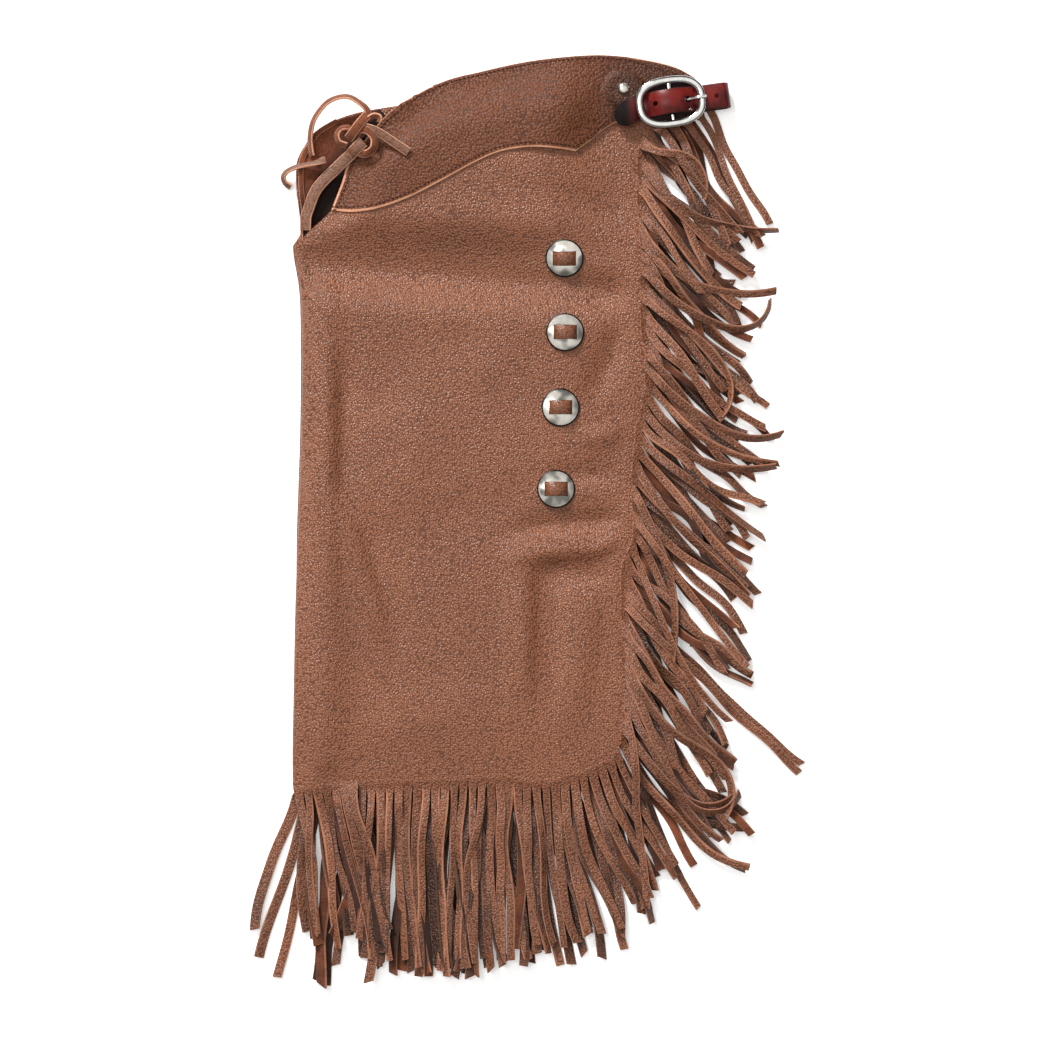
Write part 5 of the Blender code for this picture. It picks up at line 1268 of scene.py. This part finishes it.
def stitch_mesh(line, tree, pitch=4.4, length=3.5, radius=0.75, lift=0.35):
    """Short thread stitches laid along a line in plan, on what lies under it."""
    steps = np.linalg.norm(np.diff(line, axis=0), axis=1)
    run = np.concatenate([[0], np.cumsum(steps)])
    points, faces = [], []
    sides, rings = 6, 5
    for at in np.arange(pitch, run[-1] - pitch / 2, pitch):
        spots = [np.array([np.interp(at + d, run, line[:, k]) for k in range(2)]) for d in (-length / 2, length / 2)]
        tops = [top_under(tree, *spot) for spot in spots]
        if None in tops:
            continue
        a = np.array([*spots[0], tops[0]])
        b = np.array([*spots[1], tops[1]])
        along = (b - a) / np.linalg.norm(b - a)
        side = np.array([-along[1], along[0], 0.0])
        a, b = a + side * 0.35, b - side * 0.35
        along = (b - a) / np.linalg.norm(b - a)
        side = np.array([-along[1], along[0], 0.0])
        side /= np.linalg.norm(side)
        up = np.cross(along, side)
        start = len(points)
        for ring in range(rings):
            share = ring / (rings - 1)
            swell = math.sin(math.pi * (0.12 + 0.76 * share)) * radius
            centre = a + (b - a) * share + up * (lift * math.sin(math.pi * share) - 0.15)
            for k in range(sides):
                angle = 2 * math.pi * k / sides
                points.append(centre + swell * (side * math.cos(angle) + up * math.sin(angle)))
        for ring in range(rings - 1):
            for k in range(sides):
                n = (k + 1) % sides
                c = start + ring * sides
                faces.append((c + k, c + n, c + sides + n, c + sides + k))
        faces.append(tuple(start + k for k in reversed(range(sides))))
        faces.append(tuple(start + (rings - 1) * sides + k for k in range(sides)))
    return points, faces


def make_stitches(yoke, outer):
    tree = ray_tree(yoke.data)
    loop = [outer[index][:2] for index in boundary(outer)]
    loop = np.array(loop + loop[:1])
    inset = outward(loop[:-1])
    inset = np.concatenate([inset, inset[:1]])
    line = loop - inset * 2.6
    points, faces = stitch_mesh(line, tree)
    mesh = mesh_from("yoke_stitches", points, faces)
    return piece("yoke_stitches", mesh, (THREAD,), (), 0)


def band(name, path, width, thickness, finishes, rolls=None, sides=None, replaces=(), soft=0.35):
    """A flat strap along a path, with softened edges: grain on one side, flesh on the other."""
    path = np.array(path, float)
    count = len(path)
    tangents = np.gradient(path, axis=0)
    tangents /= np.linalg.norm(tangents, axis=1)[:, None]
    points, faces, index = [], [], []
    for k in range(count):
        side = np.array([-tangents[k][1], tangents[k][0], 0.0]) if sides is None else np.array(sides[k], float)
        side /= np.linalg.norm(side)
        up = np.cross(tangents[k], side)
        roll = math.radians(0 if rolls is None else rolls[k])
        across = side * math.cos(roll) + up * math.sin(roll)
        thick = -side * math.sin(roll) + up * math.cos(roll)
        w = 0.5 * (width if np.isscalar(width) else width[k])
        t = 0.5 * thickness
        profile = [(-w + soft, t), (0, t), (w - soft, t), (w, t - soft), (w, -t + soft), (w - soft, -t), (0, -t),
                   (-w + soft, -t), (-w, -t + soft), (-w, t - soft)]
        points += [(path[k] + across * a + thick * b).tolist() for a, b in profile]
    kinds = (0, 0, 1, 1, 1, 2, 2, 1, 1, 1)
    for k in range(count - 1):
        a, b = 10 * k, 10 * (k + 1)
        for j in range(10):
            n = (j + 1) % 10
            faces.append((a + j, a + n, b + n, b + j))
            index.append(kinds[j])
    faces += [tuple(range(10)), tuple(10 * (count - 1) + k for k in reversed(range(10)))]
    index += [1, 1]
    mesh = mesh_from(name, points, faces)
    mesh.polygons.foreach_set("material_index", index)
    work = bmesh.new()
    work.from_mesh(mesh)
    bmesh.ops.recalc_face_normals(work, faces=work.faces)
    work.to_mesh(mesh)
    work.free()
    return piece(name, mesh, finishes, replaces, 50)


def make_lace():
    grain_up = (LACE_GRAIN, LACE_EDGE, LACE_FLESH)
    flesh_up = (LACE_FLESH, LACE_EDGE, LACE_GRAIN)
    for name, route, width, far, finishes in (
            ("lace_loop", LACE_LOOP, 8.0, "object", flesh_up), ("lace_strap", LACE_STRAP, 12.0, "object", grain_up),
            ("lace_tail_right", LACE_TAIL_RIGHT, 9.0, "bare", grain_up),
            ("lace_tail_left", LACE_TAIL_LEFT, 7.0, "bare", grain_up)):
        line = smooth_curve(route, 6 * len(route))
        lace = band(name + "_leather", line[:, :3], width, LACE_THICKNESS, finishes,
                    rolls=line[:, 3] * LACE_OPEN, replaces=(name,), soft=0.8)
    for name, route in (("lace_bow_left", BOW_LEFT), ("lace_bow_right", BOW_RIGHT)):
        line = smooth_curve(route, 6 * len(route))
        band(name + "_leather", line[:, :3], 7.0, LACE_THICKNESS, flesh_up,
             rolls=line[:, 3] * LACE_OPEN, replaces=(name,), soft=0.8)
    knot = ball("knot_core", KNOT_AT, [0.5 * size * 0.8 for size in KNOT_SIZE])
    piece("lace_knot_core", knot, (LACE_FLESH,), ("lace_knot",), 0)
    for name, route, width in (("lace_knot_ring", KNOT_RING, 8.0), ("lace_knot_wrap", KNOT_WRAP, 9.5)):
        line = smooth_curve(route, 8 * len(route))
        band(name, line[:, :3], width, LACE_THICKNESS, flesh_up, rolls=line[:, 3], soft=0.8)


def ball(name, centre, half):
    """A closed rounded blob."""
    rings, sides = 12, 20
    points = [np.add(centre, (0, 0, half[2]))]
    for i in range(1, rings):
        phi = math.pi * i / rings
        for j in range(sides):
            a = 2 * math.pi * j / sides
            points.append(np.add(centre, (half[0] * math.sin(phi) * math.cos(a),
                                          half[1] * math.sin(phi) * math.sin(a), half[2] * math.cos(phi))))
    points.append(np.add(centre, (0, 0, -half[2])))
    faces = []
    last = len(points) - 1
    for j in range(sides):
        n = (j + 1) % sides
        faces.append((0, 1 + j, 1 + n))
        for i in range(rings - 2):
            a = 1 + i * sides
            faces.append((a + j, a + sides + j, a + sides + n, a + n))
        low = 1 + (rings - 2) * sides
        faces.append((low + j, last, low + n))
    return mesh_from(name, points, faces)


def seat(tree, x, y, radius):
    """Where a small disc rests on a surface, as a matrix."""
    angles = np.linspace(0, 2 * math.pi, 16, endpoint=False)
    spots = [(x, y)] + [(x + radius * share * math.cos(a), y + radius * share * math.sin(a))
                        for share in (0.35, 0.7, 1.0) for a in angles]
    heights = np.array([top_under(tree, *spot) for spot in spots])
    spots = np.array(spots)
    slope = np.linalg.lstsq(np.column_stack([spots - (x, y), np.ones(len(spots))]), heights, rcond=None)[0]
    plane = slope[2] + (spots - (x, y)) @ slope[:2]
    lift = (heights - plane).max() + SEAM_GAP
    normal = Vector((-slope[0], -slope[1], 1.0)).normalized()
    turn = Vector((0, 0, 1)).rotation_difference(normal).to_matrix().to_4x4()
    return Matrix.Translation(Vector((x, y, slope[2] + lift)) * MM) @ turn


def turned_mesh(name, profile, steps):
    """A closed turned mesh, flat underneath, from a profile of radius and height."""
    points = [(0, 0, 0)]
    faces = []
    for r, z in profile[:-1]:
        for k in range(steps):
            a = 2 * math.pi * k / steps
            points.append((r * math.cos(a), r * math.sin(a), z))
    apex = len(points)
    points.append((0, 0, profile[-1][1]))
    for k in range(steps):
        n = (k + 1) % steps
        faces.append((0, 1 + n, 1 + k))
        for ring in range(len(profile) - 2):
            a = 1 + ring * steps
            faces.append((a + k, a + n, a + steps + n, a + steps + k))
        last = 1 + (len(profile) - 2) * steps
        faces.append((last + k, last + n, apex))
    return mesh_from(name, points, faces)


def box_cutter(size, place):
    bpy.ops.mesh.primitive_cube_add(size=1)
    box = bpy.context.object
    box.data.transform(Matrix.Diagonal((*size, 1)))
    box.data.transform(place)
    return box


def cut_out(thing, cutters):
    """Subtract the cutters for good, and remove them."""
    for cutter in cutters:
        boolean = thing.modifiers.new("Cut", "BOOLEAN")
        boolean.operation = "DIFFERENCE"
        boolean.object = cutter
        boolean.solver = "EXACT"
    bpy.context.view_layer.update()
    graph = bpy.context.evaluated_depsgraph_get()
    mesh = bpy.data.meshes.new_from_object(thing.evaluated_get(graph))
    thing.modifiers.clear()
    thing.data = mesh
    for cutter in cutters:
        bpy.data.objects.remove(cutter, do_unlink=True)


def make_conchos(leg):
    tree = ray_tree(leg.data)
    profile = [(18.2, 0.0), (18.9, 0.25), (19.0, 0.7), (18.6, 1.15), (17.6, 1.5), (15.5, 2.3), (12.5, 3.2), (9.0, 3.9),
               (5.0, 4.35), (2.0, 4.48), (0.0, 4.5)]
    for number, (x, y) in enumerate(CONCHOS, 1):
        place = seat(tree, x, y, CONCHO_RADIUS)
        mesh = turned_mesh(f"concho_{number}_disc", profile, 72)
        # The rim round the disc takes near-black metal: painted dark reflection and shade
        for face in mesh.polygons:
            face.material_index = int(face.center.xy.length > CONCHO_RIM * MM)
        mesh.transform(place)
        disc = piece(mesh.name, mesh, (CONCHO_NICKEL, BLACK_REFLECTION), (f"concho_{number}",), 30)
        cutters = []
        for sign in (-1, 1):
            spot = place @ Matrix.Translation(Vector((sign * SLOT_AT, 0, 2)) * MM)
            cutters.append(box_cutter((SLOT_SIZE[0] * MM, SLOT_SIZE[1] * MM, 20 * MM), spot))
        cut_out(disc, cutters)
        disc.data.set_sharp_from_angle(angle=math.radians(30))
        rise = smooth_curve([(-SLOT_AT, 0.3), (-SLOT_AT + 0.1, 3.4), (-SLOT_AT + 1.2, 5.2), (-6.0, 7.4),
                             (0, 8.4), (6.0, 7.4), (SLOT_AT - 1.2, 5.2), (SLOT_AT - 0.1, 3.4), (SLOT_AT, 0.3)],
                            per_span=5)
        path = [tuple((place @ (Vector((px, 0, pz)) * MM)) / MM) for px, pz in rise]
        across = place.to_3x3() @ Vector((0, 1, 0))
        # The tab's cut edges take the dark thread finish: painted shade along its sides
        band(f"tab_{number}_leather", path, TAB_SIZE[0], TAB_SIZE[1], (TAB_GRAIN, THREAD, FLESH),
             sides=[tuple(across)] * len(path), replaces=(f"tab_{number}",))


def make_rivet(yoke):
    tree = ray_tree(yoke.data)
    profile = [(5.3, 0.0), (5.7, 0.3), (5.7, 0.7), (5.3, 1.5), (4.4, 2.3), (3.1, 2.95), (1.6, 3.3), (0.0, 3.4)]
    mesh = turned_mesh("rivet_cap", profile, 40)
    mesh.transform(seat(tree, *RIVET_AT, 5.4))
    return piece("rivet_cap", mesh, (NICKEL,), ("rivet",), 40)


def buckle_place():
    return (Matrix.Translation(Vector((BUCKLE_AT[0] * MM, BUCKLE_AT[1] * MM, 0)))
            @ Matrix.Rotation(math.radians(BUCKLE_TILT), 4, "Z"))


def make_buckle():
    """The oval frame with its bar, and the tongue."""
    half_x = BUCKLE_OUTER[0] / 2 - BUCKLE_ROD
    half_y = BUCKLE_OUTER[1] / 2 - BUCKLE_ROD
    turns, sides, roundness = 96, 40, 2.6
    points, faces, dark = [], [], []
    for k in range(turns):
        angle = 2 * math.pi * k / turns
        c, s = math.cos(angle), math.sin(angle)
        spot = np.array([half_x * math.copysign(abs(c) ** (2 / roundness), c),
                         half_y * math.copysign(abs(s) ** (2 / roundness), s)])
        grad = np.array([math.copysign(abs(spot[0] / half_x) ** (roundness - 1), spot[0]) / half_x,
                         math.copysign(abs(spot[1] / half_y) ** (roundness - 1), spot[1]) / half_y])
        grad /= np.linalg.norm(grad)
        for j in range(sides):
            a = 2 * math.pi * j / sides
            groove = sum(math.exp(-((a - b) / 0.14) ** 2) for b in (0.72, math.pi - 0.72))
            reach = BUCKLE_ROD * (1 - 0.16 * groove)
            points.append((spot[0] + grad[0] * reach * math.cos(a), spot[1] + grad[1] * reach * math.cos(a),
                           BUCKLE_HEIGHT + 0.86 * reach * math.sin(a)))
    for k in range(turns):
        for j in range(sides):
            a, b = k * sides, ((k + 1) % turns) * sides
            n = (j + 1) % sides
            faces.append((a + j, b + j, b + n, a + n))
            # The faces along the two grooves take near-black metal: painted dark reflections
            dark.append(int(any(abs((j + 0.5) * 2 * math.pi / sides - b) < 0.1 for b in (0.72, math.pi - 0.72))))
    start = len(points)
    for end in (-1, 1):
        for j in range(16):
            a = 2 * math.pi * j / 16
            points.append((BAR_RADIUS * math.cos(a), end * half_y, BAR_HEIGHT + BAR_RADIUS * math.sin(a)))
    for j in range(16):
        n = (j + 1) % 16
        faces.append((start + j, start + n, start + 16 + n, start + 16 + j))
    faces += [tuple(start + j for j in reversed(range(16))), tuple(start + 16 + j for j in range(16))]
    mesh = mesh_from("buckle_ring", points, faces)
    mesh.polygons.foreach_set("material_index", dark + [0] * (len(faces) - len(dark)))
    mesh.transform(buckle_place())
    work = bmesh.new()
    work.from_mesh(mesh)
    bmesh.ops.recalc_face_normals(work, faces=work.faces)
    work.to_mesh(mesh)
    work.free()
    piece("buckle_ring", mesh, (CHROME, BLACK_REFLECTION), ("buckle_frame",), 40)
    rest = BUCKLE_HEIGHT + BUCKLE_ROD + SEAM_GAP + 0.9
    route = smooth_curve([(3.6, 0, BAR_HEIGHT - 0.4), (13, 0, BAR_HEIGHT - 0.2), (17, 0, BAR_HEIGHT + 1.0),
                          (21, 0, BAR_HEIGHT + 2.8), (27, 0, rest - 0.4), (31.5, 0, rest), (35.8, 0, rest)],
                         per_span=4)
    place = buckle_place()
    path = [tuple((place @ (Vector(p) * MM)) / MM) for p in route]
    across = place.to_3x3() @ Vector((0, 1, 0))
    band("buckle_pin", path, 3.0, 2.0, (CHROME, CHROME, CHROME), sides=[tuple(across)] * len(path),
         replaces=("buckle_tongue",), soft=0.8)


def strap_path(tree):
    """The strap's middle line along its own axis, with how far it bends aside and its height."""
    under = 3.6
    upper = BUCKLE_HEIGHT - BUCKLE_ROD - SEAM_GAP - STRAP_THICKNESS / 2 - 0.1
    radius = (upper - under) / 2
    turn_at = 60.0 - radius - STRAP_THICKNESS / 2
    crown = BAR_HEIGHT + BAR_RADIUS + 2 * SEAM_GAP + 2.4 + STRAP_THICKNESS / 2 + 0.4
    path = [(26.0, 0, under), (40.0, 0, under)]
    for k in range(7):
        angle = -math.pi / 2 + math.pi * k / 6
        path.append((turn_at + radius * math.cos(angle), 0, under + radius + radius * math.sin(angle)))
    path += [(40, 0, upper), (32, 0, upper), (24.5, 0, upper + 0.2), (19, 0, upper + 3.6),
             (14, 0, upper + 7.2), (8, 0, crown - 1.2), (0, 0, crown), (-8, 0, crown - 1.2),
             (-14, 0, upper + 7.2), (-19, 0, upper + 3.6), (-24.5, 0, upper + 0.2), (-32, 0, upper)]
    place = buckle_place()
    for along, aside in ((-38, -2.0), (-45, -4.6), (-51, -7.6), (-56, -10.6)):
        spots = [place @ Vector(((along + da) * MM, (aside + dy) * MM, 0)) for da in (-5, 0, 5)
                 for dy in (-12, -6, 0, 6, 12)]
        tops = [top_under(tree, spot.x / MM, spot.y / MM) for spot in spots]
        rest = max(t for t in tops if t is not None)
        path.append((along, aside, rest + 0.5 + STRAP_THICKNESS / 2))
    return path


def make_strap(leg, yoke):
    tree = ray_tree(leg.data, yoke.data)
    coarse = strap_path(tree)
    width = [STRAP_WIDTH] * len(coarse)
    width[-2] = 21.0
    width[-1] = 9.0
    lean = [0.0] * len(coarse)
    lean[-4:] = (0, 14, 20, 24)
    rows = [(*p, w, l) for p, w, l in zip(coarse, width, lean)]
    line = smooth_curve(rows, per_span=5)
    place = buckle_place()
    path = [tuple((place @ (Vector(p[:3]) * MM)) / MM) for p in line]
    turn = place.to_3x3()
    sides = [tuple(turn @ Vector((-math.sin(math.radians(p[4])), math.cos(math.radians(p[4])), 0))) for p in line]
    strap = band("strap_leather", path, line[:, 3], STRAP_THICKNESS, (BELT, BELT_EDGE, BELT), sides=sides,
                 replaces=("belt_strap",), soft=0.7)
    cutters = []
    for along, radius in STRAP_HOLES:
        upper = sorted((p[0], p[2]) for p in coarse if p[2] > 12 and p[1] == 0)
        height = float(np.interp(along, [p[0] for p in upper], [p[1] for p in upper]))
        bpy.ops.mesh.primitive_cylinder_add(vertices=24, radius=radius * MM, depth=11 * MM)
        punch = bpy.context.object
        punch.data.transform(place @ Matrix.Translation(Vector((along, 0, height)) * MM))
        cutters.append(punch)
    cut_out(strap, cutters)
    strap.data.set_sharp_from_angle(angle=math.radians(50))
    thickness = 2.0
    over = BAR_HEIGHT + BAR_RADIUS + SEAM_GAP + thickness / 2
    route = [(2.8, 0, over - 1.6), (0.6, 0, over), (-2.6, 0, over - 0.6), (-6, 0, over - 4.0), (-9.2, 0, over - 7.0)]
    for along in (-13, -18):
        spots = [place @ Vector(((along + da) * MM, dy * MM, 0)) for da in (-5, 0, 5) for dy in (-11, 0, 11)]
        tops = [top_under(tree, spot.x / MM, spot.y / MM) for spot in spots]
        route.append((along, 0, max(t for t in tops if t is not None) + SEAM_GAP + thickness / 2 + 0.1))
    # A near-black sheet fills the buckle's opening round the strap: painted shade, partly a guessed backing
    spots = [place @ Vector((dx * MM, dy * MM, 0)) for dx in range(-26, 27, 4) for dy in range(-19, 20, 4)]
    tops = [top_under(tree, spot.x / MM, spot.y / MM) for spot in spots]
    rest = max(t for t in tops if t is not None) + SEAM_GAP + 0.6
    shade_backing = [(along, 0, rest) for along in (-26, -24, -18, -6, 6, 18, 24, 26)]
    shade_backing = [tuple((place @ (Vector(p) * MM)) / MM) for p in shade_backing]
    across = turn @ Vector((0, 1, 0))
    band("shade_backing_leather", shade_backing, [26, 32, 38, 40, 40, 38, 32, 26], 1.2, (SHADE_BACKING, BELT_EDGE, BELT_EDGE),
         sides=[tuple(across)] * len(shade_backing), soft=0.4)
    loop = [tuple((place @ (Vector(p) * MM)) / MM) for p in smooth_curve(route, per_span=4)]
    across = turn @ Vector((0, 1, 0))
    band("chape_leather", loop, 22.0, thickness, (CHAPE, BELT_EDGE, BELT), sides=[tuple(across)] * len(loop),
         replaces=("buckle_loop",), soft=0.5)


def make_second_yoke():
    """Flesh side of the second leg's yoke, seen left of the lace, with painted shade towards the top leg's front edge.
    """
    rows, columns = 41, 13
    outer = smooth_curve(SECOND_FRONT, rows)
    inner = evenly(FRONT_CURVE[::-1], rows)
    grid = np.zeros((rows, columns, 3))
    for row in range(rows):
        across = inner[row] - outer[row]
        length = max(np.linalg.norm(across), 1e-6)
        unit = across / length
        reach = np.clip(length - 3.0, 3.0, None) + 7.0 * smoothstep((length - 26) / 14)
        for column in range(columns):
            share = column / (columns - 1)
            height = np.interp(share, (0.0, 0.28, 0.62, 1.0), (5.6, 6.8, 6.2, 5.8))
            grid[row, column] = (*(outer[row] + unit * (2.5 + (reach - 2.5) * share)), height)
    grid = grid[4:-4, ::-1]
    normals = vertex_normals(grid)
    upper = grid + normals * WALL
    band("second_front_edge", [(x + 5.0, y, 9.4) for x, y in smooth_curve(SECOND_FRONT[3:], 30)], 5.0, 1.6,
         (PAINTED_SHADE_FLESH, EDGE, GRAIN))
    return slab("second_yoke", upper, grid, (PAINTED_SHADE_FLESH, EDGE, GRAIN), ("under_yoke",)), area_of(upper)


def area_of(points):
    """Area in square metres of a grid of points in millimetres."""
    a, b, c, d = points[:-1, :-1], points[:-1, 1:], points[1:, 1:], points[1:, :-1]
    first = np.linalg.norm(np.cross(b - a, c - a), axis=2) / 2
    second = np.linalg.norm(np.cross(c - a, d - a), axis=2) / 2
    return float((first + second).sum()) * MM * MM


# ---- build

camera_data = bpy.data.cameras.new("camera")
camera_data.lens = 102.4
camera_data.sensor_width = 36.0
camera = bpy.data.objects.new("camera", camera_data)
camera.location = (-0.001, -0.0045, 3.0)
bpy.context.scene.collection.objects.link(camera)
bpy.context.scene.camera = camera
bpy.context.scene.view_settings.view_transform = "Standard"

make_lace()
fine_grid, fine_normals, corner = make_panel()
leg = make_leg(fine_grid, fine_normals)
hidden = make_hidden(fine_grid, fine_normals, corner)
second, second_grid = make_second_yoke()
yoke, yoke_outer = make_yoke(leg)
stitches = make_stitches(yoke, yoke_outer)
fringes = plan_fringes(fine_grid, fine_normals)
make_fringe("hem_fringe_under", (fringes["hem_fringe_under"], fringes["hem_middle"]), True, 0.5, 21)
make_fringe("side_fringe_under", (fringes["side_fringe_under"], fringes["side_middle"]), True, 0.4, 22)
hem_top = make_fringe("hem_fringe_top", (fringes["hem_fringe_top"],), False, 0.0, 23)
side_top = make_fringe("side_fringe_top", (fringes["side_fringe_top"],), False, 0.0, 24)
make_conchos(leg)
make_rivet(yoke)
make_buckle()
make_strap(leg, yoke)


def make_floor():
    """A light table: pale, and glowing a little, so that no shadow is hard."""
    finish, tree, shader = shader_material("table")
    shader.inputs["Base Color"].default_value = (0.93, 0.93, 0.93, 1)
    shader.inputs["Roughness"].default_value = 0.9
    shader.inputs["Emission Color"].default_value = (1, 1, 1, 1)
    shader.inputs["Emission Strength"].default_value = 0.28
    bpy.ops.mesh.primitive_plane_add(size=8, location=(0, 0, -0.0002))
    floor = bpy.context.object
    floor.name = "floor"
    floor.data.materials.append(finish)


def make_light():
    """A pale dome over a dark horizon, a soft box, and a low soft key from the upper left for the creases."""
    world = bpy.data.worlds.new("studio")
    bpy.context.scene.world = world
    world.use_nodes = True
    tree = world.node_tree
    sky = add_node(tree, "ShaderNodeTexCoord").outputs["Generated"]
    axes = add_node(tree, "ShaderNodeSeparateXYZ", {"Vector": sky})
    dome = ramp(tree, axes.outputs["Z"], [(0.0, (0.03, 0.03, 0.03)), (0.34, (0.07, 0.07, 0.07)),
                                          (0.62, (0.55, 0.545, 0.53)), (0.9, (0.92, 0.91, 0.88)),
                                          (1.0, (0.95, 0.94, 0.91))])
    tree.links.new(dome, tree.nodes["Background"].inputs["Color"])
    tree.nodes["Background"].inputs["Strength"].default_value = 1.0
    box = bpy.data.lights.new("soft_box", "AREA")
    box.size = 1.0
    box.energy = 26.0
    overhead = bpy.data.objects.new("soft_box", box)
    overhead.location = (-1.15, 0.65, 3.2)
    overhead.rotation_euler = Vector((1.15, -0.65, -3.2)).to_track_quat("-Z", "Y").to_euler()
    bpy.context.scene.collection.objects.link(overhead)
    sun = bpy.data.lights.new("key", "SUN")
    sun.energy = 4.6
    sun.angle = math.radians(14)
    key = bpy.data.objects.new("key", sun)
    key.rotation_euler = Vector((0.42, -0.80, -0.50)).to_track_quat("-Z", "Y").to_euler()
    bpy.context.scene.collection.objects.link(key)


make_floor()
make_light()
